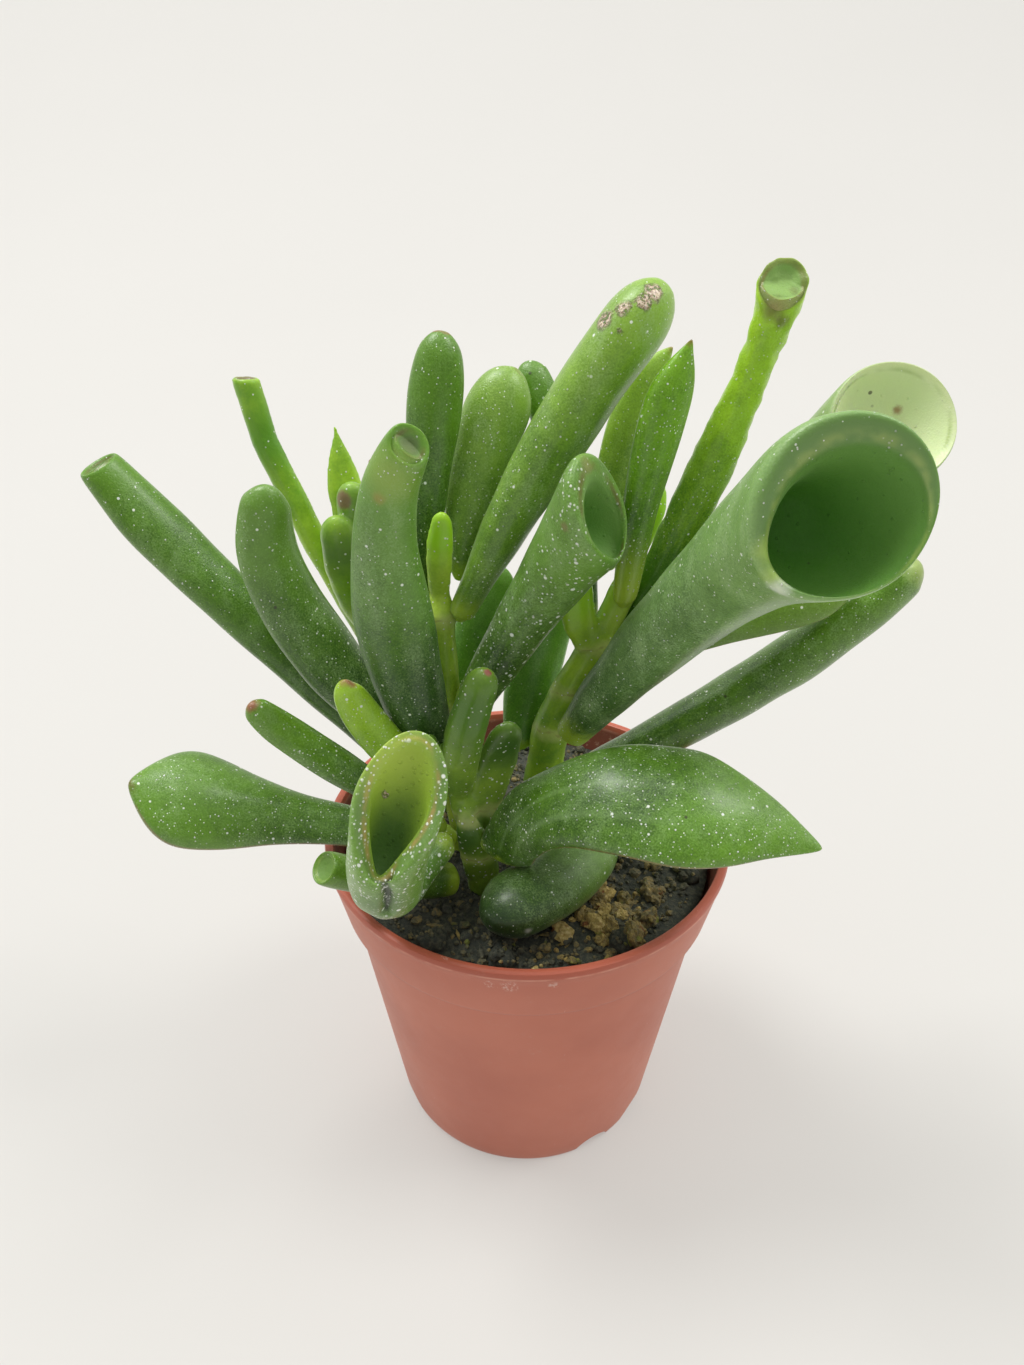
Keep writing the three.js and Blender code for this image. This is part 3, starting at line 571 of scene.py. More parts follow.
leaf_looks = dict(
    leaf_far_left=dict(salt=0.35, inner=(0.105, 0.19, 0.04), rim=RIM_BROWN),
    leaf_left=dict(
        dark=(0.022, 0.066, 0.009), light=(0.13, 0.28, 0.026), bloom=0.5, salt=0.6, end_light=0.8,
    ),
    leaf_spoon_left=dict(
        light=(0.14, 0.31, 0.02), salt=0.85, bloom=0.4, edge=BLUSH, tip=RIM_BROWN, tip_start=0.97,
    ),
    leaf_small_left=dict(
        dark=(0.03, 0.09, 0.006), light=(0.15, 0.33, 0.012), salt=0.85, tip=PINK_BROWN, tip_start=0.975,
    ),
    leaf_pink_tip=dict(
        dark=(0.14, 0.32, 0.012), light=(0.42, 0.68, 0.03), salt=0.9, tip=PINK_BROWN, tip_start=0.965,
    ),
    leaf_front_boat=dict(
        dark=(0.07, 0.18, 0.012), light=(0.2, 0.38, 0.05), bloom=0.6, salt=1.0, salt_size=0.27,
        lip=BOAT_LIP, inner=BOAT_INSIDE, bottom=BOAT_CUP_SHADE, rim=(0.5, 0.3, 0.1),
        scars=[((-16.3, -26.6, 78.7), 0.5)], seam=True,
        patches=[
            ((-15.7, -25.5, 84.0), 7.5, (0.5, 0.66, 0.09), 0.7),
            ((-16.6, -31.0, 66.0), 4.5, (0.06, 0.13, 0.02), 0.6),
            ((-17.5, -28.0, 61.0), 4.0, (0.06, 0.13, 0.02), 0.7),
        ],
    ),
    leaf_stub_left=dict(
        dark=(0.035, 0.09, 0.006), light=(0.15, 0.3, 0.02), root=0.2, inner=(0.15, 0.28, 0.05),
        rim=RIM_YELLOW, salt=0.4,
    ),
    leaf_spoon_right=dict(
        light=(0.165, 0.365, 0.022), salt=1.0, edge=BLUSH, specks=0.45, root=0.05, bloom=0.35,
        # Painted highlight lines along two ridges of this leaf.
        ridge_highlights=(0.12, -0.42),
    ),
    leaf_drooping=dict(
        # Painted shade: this leaf darkens towards its end, and the large near-black patch where it hangs
        # over the soil is painted shade.
        dark=(0.024, 0.065, 0.01), light=(0.18, 0.34, 0.06), bloom=0.5, salt=0.3, root=0.02, end_light=-0.6,
        patches=[
            ((0.3, -22.8, 53.2), 0.8, (0.7, 0.74, 0.66), 0.9),
            ((-4.0, -22.0, 53.0), 7.0, (0.01, 0.032, 0.006), 0.8),
        ],
    ),
    leaf_front_upright=dict(
        dark=(0.03, 0.092, 0.01), light=(0.15, 0.33, 0.034), bloom=0.45, salt=0.6,
        inner=(0.145, 0.235, 0.07), bottom=(0.15, 0.21, 0.08), rim=RIM_BROWN, end_light=0.9,
        patches=[
            ((-16.3, -15.5, 110.3), 1.2, (0.38, 0.24, 0.05), 0.6),
            ((-15.0, -16.4, 113.1), 5.0, (0.36, 0.5, 0.06), 0.5),
        ],
    ),
    leaf_middle_trumpet=dict(
        light=(0.19, 0.38, 0.055), bloom=0.4, salt=0.55, salt_size=0.26, inner=GREY_GREEN,
        bottom=TRUMPET_INSIDE, rim=RIM_BROWN,
        patches=[
            ((3.8, -15.5, 107.2), 0.9, (0.26, 0.2, 0.09), 0.8),
            ((6.2, -12.5, 113.2), 1.6, (0.3, 0.22, 0.08), 0.5),
        ],
    ),
    leaf_long_scarred=dict(
        dark=(0.065, 0.165, 0.014), light=(0.31, 0.55, 0.05), bloom=0.5, salt=0.7, end_light=0.25,
        scars=[
            ((8.4, -1.6, 125.6), 1.5), ((10.2, -2.0, 126.9), 1.3), ((12.0, -2.2, 127.8), 1.2),
            ((13.3, -1.2, 128.6), 1.4), ((14.0, -1.0, 130.4), 1.2), ((9.5, -3.0, 124.7), 0.6),
        ],
    ),
    leaf_back_middle=dict(
        dark=(0.07, 0.17, 0.018), light=(0.29, 0.49, 0.06), bloom=0.45, salt=0.75, end_light=0.25,
        tip=RIM_BROWN, tip_start=0.985,
    ),
    leaf_back_upright=dict(salt=0.35, bloom=0.2, end_light=0.5, tip=PINK_BROWN, tip_start=0.985),
    leaf_back_small=dict(salt=0.3),
    leaf_pair_back=dict(
        dark=(0.08, 0.2, 0.016), light=(0.36, 0.58, 0.055), bloom=0.2, salt=0.6, tip=BLUSH,
        tip_start=0.96, root=0.35,
    ),
    leaf_pair_front=dict(
        dark=(0.04, 0.13, 0.004), light=(0.23, 0.5, 0.008), bloom=0.1, salt=0.85, tip=BLUSH,
        tip_start=0.96, root=0.35,
    ),
    leaf_big_trumpet=dict(
        dark=(0.05, 0.125, 0.022), light=(0.24, 0.42, 0.12), bloom=0.7, salt=0.5, end_light=0.6,
        lip=(0.15, 0.29, 0.07), inner=TRUMPET_INSIDE, bottom=TRUMPET_CUP_SHADE, rim=RIM_YELLOW,
        patches=[
            ((22.0, -32.5, 112.4), 2.2, (0.46, 0.64, 0.14), 0.8),
            ((22.6, -32.9, 110.0), 2.0, (0.46, 0.64, 0.16), 0.8),
            ((23.2, -32.9, 108.6), 1.8, (0.78, 0.86, 0.7), 0.9),
            ((36.5, -17.5, 121.0), 1.0, (0.3, 0.1, 0.04), 0.8),
        ],
    ),
    leaf_tall_stalk=dict(
        dark=(0.075, 0.22, 0.008), light=(0.46, 0.76, 0.035), bloom=0.2, salt=0.5, specks=0.9, end_light=0.8,
        lip=(0.22, 0.3, 0.06), inner=(0.28, 0.46, 0.12), rim=(0.3, 0.26, 0.08),
        patches=[
            ((28.6, -0.3, 128.1), 1.1, (0.12, 0.06, 0.025), 0.9),
            ((26.4, -1.3, 126.9), 1.9, (0.22, 0.19, 0.05), 0.8),
            ((27.6, -1.4, 125.6), 1.3, (0.14, 0.12, 0.04), 0.7),
        ],
    ),
    leaf_second_trumpet=dict(
        dark=(0.16, 0.28, 0.08), light=(0.34, 0.5, 0.18), bloom=0.7, lip=PALE_INSIDE, inner=PALE_INSIDE,
        rim=RIM_YELLOW, specks=1.0,
        patches=[
            ((38.3, -11.0, 121.5), 0.45, PIT, 0.9), ((37.7, -11.0, 121.0), 0.35, PIT, 0.9),
            ((41.4, -13.1, 118.4), 0.4, (0.07, 0.07, 0.03), 0.9),
            ((41.8, -14.5, 117.5), 0.5, (0.07, 0.08, 0.03), 0.9),
            ((38.8, -10.6, 118.7), 0.7, (0.3, 0.12, 0.05), 0.8),
        ],
    ),
    leaf_right_back=dict(
        light=(0.15, 0.33, 0.016), bloom=0.45, salt=0.6, tip=RIM_YELLOW, tip_start=0.93,
    ),
    leaf_red_edge=dict(
        dark=(0.07, 0.15, 0.01), light=(0.18, 0.34, 0.025), bloom=0.2, tip=(0.3, 0.12, 0.04),
        tip_start=0.97, edge=(0.34, 0.1, 0.04),
    ),
    leaf_shaded_left=dict(dark=(0.07, 0.2, 0.02), light=(0.19, 0.44, 0.035), bloom=0.2, salt=0.2),
    leaf_shaded_right=dict(dark=(0.09, 0.24, 0.03), light=(0.22, 0.5, 0.05), bloom=0.3, salt=0.2),
)
print("looks for", len(leaf_looks), "leaves")

# %% [markdown]
# Now each leaf is made in turn. `CUPS` names those whose end is open, if only as a dimple.
# `HOLLOWS` says what share of a hollow's depth is taken away again, and `WIDE` how far the inner
# skin moves out, in millimetres.

# %% Make every large leaf
CUPS = {
    "leaf_far_left", "leaf_front_boat", "leaf_stub_left", "leaf_front_upright", "leaf_middle_trumpet",
    "leaf_big_trumpet", "leaf_tall_stalk", "leaf_second_trumpet",
}
HOLLOWS = {
    "leaf_front_upright": 0.88, "leaf_far_left": 0.85, "leaf_tall_stalk": 0.7, "leaf_stub_left": 0.4,
    "leaf_second_trumpet": 0.2,
}
WIDE = {"leaf_big_trumpet": 0.9, "leaf_middle_trumpet": 0.4, "leaf_second_trumpet": 0.3}
BOAT_SEAM = [
    (-16.5, -32.2, 72.8), (-16.1, -32.8, 70.4), (-15.9, -32.2, 67.7), (-16.3, -31.2, 65.5),
    (-16.7, -30.4, 63.7),
]
SEAM_WIDTHS = (1.1, 0.5)
SEAM_DEPTH = 1.1
SWELLS = (0.22, 7)
STALK_BUMPS = (0.26, 1.3)

for node, look in leaf_looks.items():
    skin = smooth_leaf(node, node in CUPS)
    dimple(skin, *SWELLS)
    if node == "leaf_tall_stalk":
        dimple(skin, *STALK_BUMPS)
    if node in HOLLOWS:
        flatten_hollow(skin, HOLLOWS[node])
    if node in WIDE:
        widen_mouth(skin, WIDE[node])
    if node == "leaf_front_boat":
        press_seam(skin, BOAT_SEAM, SEAM_WIDTHS, SEAM_DEPTH)
    skin.data.materials.append(leaf_finish(node + "_finish", **look))
    print(node, len(skin.data.polygons), "faces")

# %% [markdown]
# ## Stems with their small leaves
#
# On the plant a small leaf and its stem are one piece of flesh, joined by a soft fillet. The solids
# only meet there at a sharp line. A voxel remesh turns each leafy stem into one even skin, and a
# few rounds of smoothing then melt the line into a fillet. Smoothing also shrinks, so the skin is
# swollen by the same small amount, and below a given height by a little more: `PLUMP` holds both,
# in millimetres.

# %% Soften the leafy stems
STEM_VOXEL = 0.28
STEM_SWELL = 0.1
STEM_DENTS = (0.12, 3)
PLUMP = {
    "stem_left": (0.4, 91), "stem_right": (0.2, 86), "stem_front": (0.15, 66), "stem_back": (0.1, 85),
}
PLUMP_FADE = 2
SMOOTHING_ROUNDS = 14


def soften_stem(node):
    piece = clean_copy(node, node + "_skin")
    apply_modifier(piece, "REMESH", mode="VOXEL", voxel_size=STEM_VOXEL * MM)
    apply_modifier(piece, "SMOOTH", factor=0.5, iterations=SMOOTHING_ROUNDS)
    plump, top = PLUMP[node]
    table = corners(piece)
    swell = STEM_SWELL + plump * np.clip((top * MM - table[:, 2]) / (PLUMP_FADE * MM), 0, 1)
    move_corners(piece, table + normals_of(piece) * (swell * MM)[:, None])
    dimple(piece, *STEM_DENTS)
    only(piece)
    bpy.ops.object.shade_smooth()
    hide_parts(node)
    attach(piece, "root")
    return piece


# %% [markdown]
# The stem finish is the leaf finish made simpler. It is yellow-green and a little glassy when
# young, and the small leaves turn greener. A few dark spots on the front stem are painted shade.
# Each joint shows as a pale band with a faint, broken brown line. The height of a joint is known
# from the solid, so the band is drawn round that height and made wavy with noise.

# %% Build the stem finish
JOINT_PALE = (0.6, 0.66, 0.24)
JOINT_BROWN = (0.24, 0.19, 0.06)


def stem_finish(name, dark, light, joints=(), flushes=(), greens_and_shade=(), salt=0.4):
    """joints are heights in millimetres; flushes and greens are spots with a radius and a colour, and
    the greens in the shaded colour are painted shade.
    """
    finish = Finish(
        name, Subsurface_Weight=0.2, Subsurface_Scale=1.2 * MM, Coat_Weight=COAT, **FLESH)
    drift = finish.clouds(0.2, 3, 0.55)
    grain = finish.clouds(2.8, 3, 0.6)
    colour = finish.mix(dark, light, (drift * 0.85 + grain * 0.3).rise(0.3, 0.85))
    # Greener spots, and a few dark ones that are painted shade.
    for spot, radius, tint in greens_and_shade:
        colour = finish.mix(colour, tint, finish.near(spot, radius, 1.5, 0.1))
    height = finish.node("ShaderNodeSeparateXYZ", {}, {"Vector": finish.place}, "Z")
    for joint in joints:
        gap = (height - joint + (finish.clouds(0.5) - 0.5) * 2.2).size()
        colour = finish.mix(colour, JOINT_PALE, gap.rise(1.6, 0.2) * 0.5)
        broken = finish.clouds(0.9).rise(0.4, 0.6)
        colour = finish.mix(colour, JOINT_BROWN, gap.rise(0.24, 0.05) * broken * 0.4)
    for spot, radius, tint in flushes:
        colour = finish.mix(colour, tint, finish.near(spot, radius, 0.8))
    dots = finish.specks(1.3, 0.15, salt).either(finish.specks(0.7, 0.22, salt * 0.6))
    colour = finish.mix(colour, SALT, dots * 0.9)
    finish.feed("Base Color", colour)
    finish.feed("Roughness", 0.33 + grain * 0.15 + dots * 0.2)
    finish.bump(finish.clouds(3.2, 3, 0.6) * 0.6 + dots * 0.8 + drift * 0.5, 0.09)
    return finish.material


STEM_DARK = (0.24, 0.42, 0.022)
STEM_LIGHT = (0.56, 0.76, 0.08)
YOUNG = (0.34, 0.66, 0.012)
SHADED = (0.05, 0.135, 0.012)
stem_looks = dict(
    stem_left=dict(
        dark=STEM_DARK, light=STEM_LIGHT, joints=(75, 88.5),
        greens_and_shade=[((-10.8, -3.5, 101.0), 5.5, YOUNG)],
    ),
    stem_right=dict(
        dark=(0.15, 0.32, 0.025), light=(0.42, 0.64, 0.04), joints=(70, 77, 84),
        greens_and_shade=[
            ((6.5, -1.5, 92.0), 6.5, YOUNG), ((17.0, 6.5, 101.0), 7.5, YOUNG),
            ((11.5, -4.0, 89.0), 5.0, (0.56, 0.78, 0.1)),
        ],
    ),
    stem_front=dict(
        dark=(0.11, 0.22, 0.02), light=(0.27, 0.44, 0.04), joints=(56, 63), salt=1.0,
        greens_and_shade=[
            # The spots in the shaded colour are painted shade.
            ((-6.0, -13.5, 82.0), 10.0, (0.085, 0.205, 0.014)), ((-2.5, -9.6, 74.0), 6.5, SHADED),
            ((-12.4, -12.5, 76.0), 3.5, (0.1, 0.23, 0.02)), ((-8.5, -12.0, 60.0), 5.5, SHADED),
        ],
        flushes=[((-4.7, -14.6, 88.2), 0.9, PINK_BROWN)],
    ),
    stem_back=dict(
        dark=(0.18, 0.4, 0.02), light=(0.46, 0.72, 0.04), joints=(78,),
        greens_and_shade=[
            ((-25.2, 7.0, 94.0), 6.5, (0.14, 0.26, 0.06)),
            ((-23.5, 8.6, 100.0), 4.5, (0.18, 0.34, 0.07)),
            ((-35.5, 16.5, 106.0), 9.0, (0.12, 0.32, 0.012)),
        ],
        flushes=[
            ((-21.0, 12.0, 105.0), 1.5, BLUSH), ((-24.9, 6.4, 101.0), 1.9, (0.25, 0.18, 0.08)),
            ((-38.2, 18.0, 113.5), 1.6, (0.2, 0.17, 0.07)),
        ],
    ),
)
for node, look in stem_looks.items():
    skin = soften_stem(node)
    skin.data.materials.append(stem_finish(node + "_finish", **look))
    print(node, len(skin.data.polygons), "faces")

# %% [markdown]
# ## The pot
#
# A nursery pot is moulded from thin plastic. Its wall leans out a little, so that pots stack, and a
# wider band stiffens its rim. It can be turned from an outline, or drawn up ring by ring: a flat
# disc is extruded, and each new ring is scaled to the radius of the wall at that height. The second
# way needs only the operators that one would use by hand, and the last ring closes the floor.

# %% Draw up the wall of the pot ring by ring
pot_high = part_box("pot")[1]
RIM_RADIUS = pot_high.x / MM + 0.1
POT_HEIGHT = pot_high.z / MM
LIP_WIDTH = 1.3
BAND_BOTTOM = 42.8
BAND_RADIUS = 28.1
BODY_TOP_RADIUS = 26.9
FOOT_RADIUS = 20.9
WALL = 1.2
FLOOR_TOP = 2.7
POT_SIDES = 160
FIRST_RADIUS = FOOT_RADIUS - 0.9


def outside_at(z):
    return FOOT_RADIUS + (BODY_TOP_RADIUS - FOOT_RADIUS) * z / BAND_BOTTOM


pot_rings = [
    (FOOT_RADIUS - 0.5, 0.06),
    (FOOT_RADIUS - 0.2, 0.25),
    (FOOT_RADIUS, 0.7),
    (outside_at(1.8), 1.8),
    (outside_at(3.0), 3.0),
    (outside_at(20.0), 20.0),
    (outside_at(BAND_BOTTOM - 0.5), BAND_BOTTOM - 0.5),
    (BODY_TOP_RADIUS, BAND_BOTTOM),
    (BAND_RADIUS - 0.2, BAND_BOTTOM + 0.14),
    (BAND_RADIUS, BAND_BOTTOM + 0.4),
    (BAND_RADIUS + 0.1, BAND_BOTTOM + 0.9),
    (RIM_RADIUS - 0.42, POT_HEIGHT - 2.6),
    (RIM_RADIUS - 0.32, POT_HEIGHT - 1.5),
    (RIM_RADIUS - 0.02, POT_HEIGHT - 1.2),
    (RIM_RADIUS, POT_HEIGHT - 0.5),
    (RIM_RADIUS - 0.12, POT_HEIGHT - 0.16),
    (RIM_RADIUS - 0.4, POT_HEIGHT),
    (RIM_RADIUS - 0.9, POT_HEIGHT),
    (RIM_RADIUS - 1.18, POT_HEIGHT - 0.15),
    (RIM_RADIUS - LIP_WIDTH, POT_HEIGHT - 0.5),
    (BAND_RADIUS - WALL, BAND_BOTTOM + 0.3),
    (BODY_TOP_RADIUS - WALL, BAND_BOTTOM - 0.9),
    (outside_at(FLOOR_TOP) - WALL, FLOOR_TOP),
]

bpy.ops.object.select_all(action="DESELECT")
bpy.ops.mesh.primitive_circle_add(vertices=POT_SIDES, radius=FIRST_RADIUS * MM, fill_type="NGON")
pot = bpy.context.object
pot.name = "pot_moulded"
bpy.ops.object.mode_set(mode="EDIT")
radius = FIRST_RADIUS
height = 0.0
for next_radius, next_height in pot_rings:
    lift = (0, 0, (next_height - height) * MM)
    bpy.ops.mesh.extrude_region_move(TRANSFORM_OT_translate={"value": lift})
    share = next_radius / radius
    bpy.ops.transform.resize(value=(share, share, 1))
    radius = next_radius
    height = next_height
bpy.ops.mesh.select_all(action="SELECT")
bpy.ops.mesh.normals_make_consistent(inside=False)
bpy.ops.object.mode_set(mode="OBJECT")
print("pot:", len(pot_rings), "rings,", [round(v / MM, 1) for v in pot.dimensions], "mm")

# %% [markdown]
# Water leaves through six slots in the foot. Each is a shallow arch under the edge with a small
# round hole over its inner end. They are cut with a Boolean modifier, one cutter after another. The
# corners inside the middle of the wall are then marked, so that the inner wall can be painted dark
# as shade, more so further down from the rim, and flecked with pale specks of crust.

# %% Cut the slots and drain holes
SLOT_ANGLES = (-58, -33, 62, 87, 182, 207)
SLOT_WIDTH = 6.0
SLOT_HEIGHT = 2.5
SLOT_LENGTH = 15
DRAIN_RING = 16.8
DRAIN_RADIUS = 1.7
CUTTER_SIDES = 24
MIDDLE_HEIGHTS = (0, BAND_BOTTOM - 0.9, BAND_BOTTOM + 0.3, POT_HEIGHT)
MIDDLE_RADII = (20.2, 26.2, 27.4, 29.1)


def cut_with(piece, cutter):
    apply_modifier(piece, "BOOLEAN", operation="DIFFERENCE", solver="EXACT", object=cutter)
    bpy.data.objects.remove(cutter)


for angle in SLOT_ANGLES:
    turn = math.radians(angle)
    ahead = Vector((math.cos(turn), math.sin(turn), 0))
    bpy.ops.mesh.primitive_cylinder_add(
        vertices=CUTTER_SIDES, radius=SLOT_WIDTH / 2 * MM, depth=SLOT_LENGTH * MM,
        location=ahead * 1.5 * SLOT_LENGTH * MM, rotation=(math.pi / 2, 0, turn + math.pi / 2))
    slot = bpy.context.object
    bpy.ops.object.transform_apply(location=False, rotation=True, scale=False)
    slot.scale.z = 2 * SLOT_HEIGHT / SLOT_WIDTH
    cut_with(pot, slot)
    bpy.ops.mesh.primitive_cylinder_add(
        vertices=CUTTER_SIDES, radius=DRAIN_RADIUS * MM, depth=4 * FLOOR_TOP * MM,
        location=ahead * DRAIN_RING * MM)
    cut_with(pot, bpy.context.object)
table = corners(pot) / MM
middle = np.interp(table[:, 2], MIDDLE_HEIGHTS, MIDDLE_RADII)
within = np.hypot(table[:, 0], table[:, 1]) < middle
attribute(pot, "inner_wall", within & (table[:, 2] > FLOOR_TOP - 0.1))
only(pot)
bpy.ops.object.shade_smooth_by_angle(angle=math.radians(40))
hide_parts("pot")
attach(pot, "root")
print("pot with slots:", len(pot.data.polygons), "faces")

# %% [markdown]
# The plastic is a dull terracotta pink, a little darker and redder at the lip. Just under the lip a
# thin pale line is painted highlight, where the edge of the lip catches the light. Handling has left
# pale scuffs and dust, mostly under the rim, and the mould has left a very fine grain.

# %% Paint the plastic
TERRACOTTA_DARK = (0.52, 0.15, 0.09)
TERRACOTTA_LIGHT = (0.6, 0.188, 0.115)
LIP_ORANGE = (0.44, 0.098, 0.056)
HIGHLIGHT_LINE = (0.72, 0.34, 0.25)
INNER_WALL_SHADE = (0.15, 0.045, 0.032)
WALL_CRUST = (0.36, 0.22, 0.16)
BAND_SHADOW = (0.3, 0.085, 0.06)
DUST = (0.6, 0.38, 0.31)
SCRATCH = (0.72, 0.52, 0.45)
SCUFF = (0.76, 0.54, 0.46)
SCUFFS = [
    ((-10.2, -27.2, 52.8), 0.6), ((-2.0, -29.3, 50.2), 1.4), ((-4.6, -28.9, 50.3), 0.9),
    ((3.5, -29.3, 50.5), 0.7),
]


def pot_finish():
    finish = Finish("moulded_terracotta", Specular_IOR_Level=0.4)
    height = finish.node("ShaderNodeSeparateXYZ", {}, {"Vector": finish.place}, "Z")
    drift = finish.clouds(0.05, 3, 0.5)
    colour = finish.mix(TERRACOTTA_DARK, TERRACOTTA_LIGHT, drift.rise(0.3, 0.7))
    lip = height.rise(POT_HEIGHT - 1.5, POT_HEIGHT - 0.6)
    colour = finish.mix(colour, LIP_ORANGE, lip * 0.8)
    # Painted highlight: a thin pale line just under the lip, where its edge catches the light.
    highlight_band = (height - POT_HEIGHT + 1.15).size().rise(0.35, 0.1) * finish.clouds(0.3, 3).rise(0.3, 0.6)
    colour = finish.mix(colour, HIGHLIGHT_LINE, highlight_band * 0.7)
    dirty = finish.clouds(1.2, 4, 0.7).rise(0.55, 0.7)
    # Painted shade: the inner wall is painted dark, more so further down from the rim, with pale specks of
    # crust.
    inner = finish.reading("inner_wall") * height.rise(POT_HEIGHT - 0.4, POT_HEIGHT - 1.6)
    colour = finish.mix(colour, finish.mix(INNER_WALL_SHADE, WALL_CRUST, dirty), inner * 0.9)
    under_band = (height - BAND_BOTTOM - 0.2).size().rise(0.5, 0.1)
    colour = finish.mix(colour, BAND_SHADOW, under_band * 0.35)
    dust = finish.clouds(0.32, 5, 0.7).rise(0.58, 0.78) * finish.clouds(1.8, 3, 0.7).rise(0.4, 0.65)
    colour = finish.mix(colour, DUST, dust * 0.35)
    scratch = finish.clouds(1.6, 5, 0.75, finish.stretched(1, 1, 0.3)).rise(0.66, 0.72)
    colour = finish.mix(colour, SCRATCH, scratch * finish.clouds(0.12).rise(0.5, 0.6) * 0.6)
    chips = finish.clouds(2.6, 3, 0.7).rise(0.5, 0.58)
    for spot, radius in SCUFFS:
        colour = finish.mix(colour, SCUFF, finish.near(spot, radius, 1.2) * chips * 0.5)
    finish.feed("Base Color", colour)
    finish.feed("Roughness", 0.36 + dust * 0.2 + finish.clouds(0.5, 3) * 0.12)
    finish.bump(finish.clouds(5.0, 2, 0.5) * 0.4 + drift * 2 + scratch * 0.3, 0.03)
    return finish.material


pot.data.materials.clear()
pot.data.materials.append(pot_finish())
print("plastic:", len(pot.active_material.node_tree.nodes), "nodes")

# %% [markdown]
# ## Soil
#
# The soil is nearly black and uneven, and it carries crumbs of every size: tan and olive lumps of
# bark and clay, reddish bits, and a few tufts of moss. The plug is the solid's own, with its top
# faces subdivided and moved up and down by noise. The crumbs are copies of a few small balls, each
# dented in its own way, strewn by a seeded draw over the top of the plug. No crumb falls where a
# stem's hole opens.

# %% Roughen the top of the plug
soil = clean_copy("soil", "soil_plug")
soil_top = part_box("soil")[1].z
TOP_EDGE = 46.5
TOP_RADIUS = 26.6
ROUGHNESS = 0.55
bpy.ops.object.mode_set(mode="EDIT")
bpy.ops.mesh.select_all(action="DESELECT")
bpy.ops.object.mode_set(mode="OBJECT")
for face in soil.data.polygons:
    face.select = face.center.z > TOP_EDGE * MM and face.normal.z > 0.2
bpy.ops.object.mode_set(mode="EDIT")
bpy.ops.mesh.select_mode(type="FACE")
bpy.ops.mesh.subdivide(number_cuts=3)
bpy.ops.object.mode_set(mode="OBJECT")
table = corners(soil)
for i, point in enumerate(table):
    away = math.hypot(point[0], point[1]) / MM
    if point[2] > TOP_EDGE * MM and away < TOP_RADIUS:
        place = Vector(point) / MM
        swell = noise.fractal(place * 0.45, 0.9, 2.1, 5)
        table[i][2] += ROUGHNESS * swell * MM
move_corners(soil, table)
only(soil)
bpy.ops.object.shade_smooth()
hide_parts("soil")
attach(soil, "root")
print("soil plug:", len(soil.data.polygons), "faces, top at", round(soil_top / MM, 1), "mm")

# %% Strew the crumbs
CRUMB_SEED = 12
HOLE_BELOW = 45
CRUMB_RADIUS = 25.6
RAY_START = 60
draw = random.Random(CRUMB_SEED)


def ball(divisions):
    """The corners and faces of a small ball of radius 1."""
    shape = bmesh.new()
    bmesh.ops.create_icosphere(shape, subdivisions=divisions, radius=1.0)
    points = np.array([v.co[:] for v in shape.verts])
    faces = [[v.index for v in face.verts] for face in shape.faces]
    shape.free()
    return points, faces


def dented(points, size, squash, stretch):
    """A copy of the ball with dents, at a random turn."""
    angle = draw.uniform(0, math.tau)
    turn = Matrix.Rotation(angle, 3, Vector((draw.random(), draw.random(), 1)).normalized())
    offset = Vector((draw.uniform(0, 50), draw.uniform(0, 50), 0))
    table = []
    for point in points:
        place = Vector(point)
        broad = noise.noise(place * 1.3 + offset)
        narrow = noise.noise(place * 3.2 + offset)
        place = place * (1 + 0.45 * broad + 0.35 * narrow)
        place.x *= stretch
        place.z *= squash
        table.append(turn @ place * size)
    return np.array([place[:] for place in table])


fine_ball = ball(1)
lump_ball = ball(3)
ground = soil.evaluated_get(bpy.context.evaluated_depsgraph_get())


def ground_height(x, y):
    """The top of the plug under this place, in millimetres, or None over a stem hole."""
    hit, place, _, _ = ground.ray_cast(Vector((x, y, RAY_START)) * MM, Vector((0, 0, -1)))
    return place.z / MM if hit and place.z > HOLE_BELOW * MM else None


def strew(name, ball_shape, sizes, count, tones, spot=None, spread=0, stretch=1):
    """One piece of many crumbs; tones are the shares of the colour scale that they may take."""
    points, faces = ball_shape
    all_points = []
    all_faces = []
    tone = []
    for _ in range(count):
        if spot:
            x = draw.gauss(spot[0], spread)
            y = draw.gauss(spot[1], spread)
        else:
            away = CRUMB_RADIUS * math.sqrt(draw.random())
            turn = draw.uniform(0, math.tau)
            x = away * math.cos(turn)
            y = away * math.sin(turn)
        z = ground_height(x, y)
        if z is None or math.hypot(x, y) > CRUMB_RADIUS:
            continue
        size = draw.uniform(*sizes)
        table = dented(points, size, draw.uniform(0.6, 1.0), stretch) + (x, y, z + 0.25 * size)
        start = sum(len(p) for p in all_points)
        all_points.append(table)
        all_faces += [[start + i for i in face] for face in faces]
        tone += [draw.uniform(*tones)] * len(points)
    mesh = bpy.data.meshes.new(name)
    mesh.from_pydata((np.concatenate(all_points) * MM).tolist(), [], all_faces)
    piece = bpy.data.objects.new(name, mesh)
    bpy.context.scene.collection.objects.link(piece)
    attribute(piece, "tone", tone)
    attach(piece, "root")
    print(name, len(all_points), "crumbs,", len(all_faces), "faces")
    return piece


crumbs = [
    strew("soil_grit", fine_ball, (0.15, 0.45), 2600, (0.0, 0.5)),
    strew("soil_crumbs", ball(2), (0.35, 0.9), 330, (0.0, 0.55)),
    strew("soil_lumps", lump_ball, (0.7, 1.5), 16, (0.65, 1.0), (10.6, -15.5), 2.2),
    strew("soil_chunks", lump_ball, (0.9, 2.1), 9, (0.45, 0.7), (15.5, -16.0), 2.6),
    strew("soil_bits", ball(2), (0.25, 0.7), 90, (0.4, 1.0), (9.0, -17.5), 5.5),
    strew("soil_twigs", ball(2), (0.22, 0.4), 26, (0.4, 0.85), (6.0, -17.0), 8.0, 4.0),
]

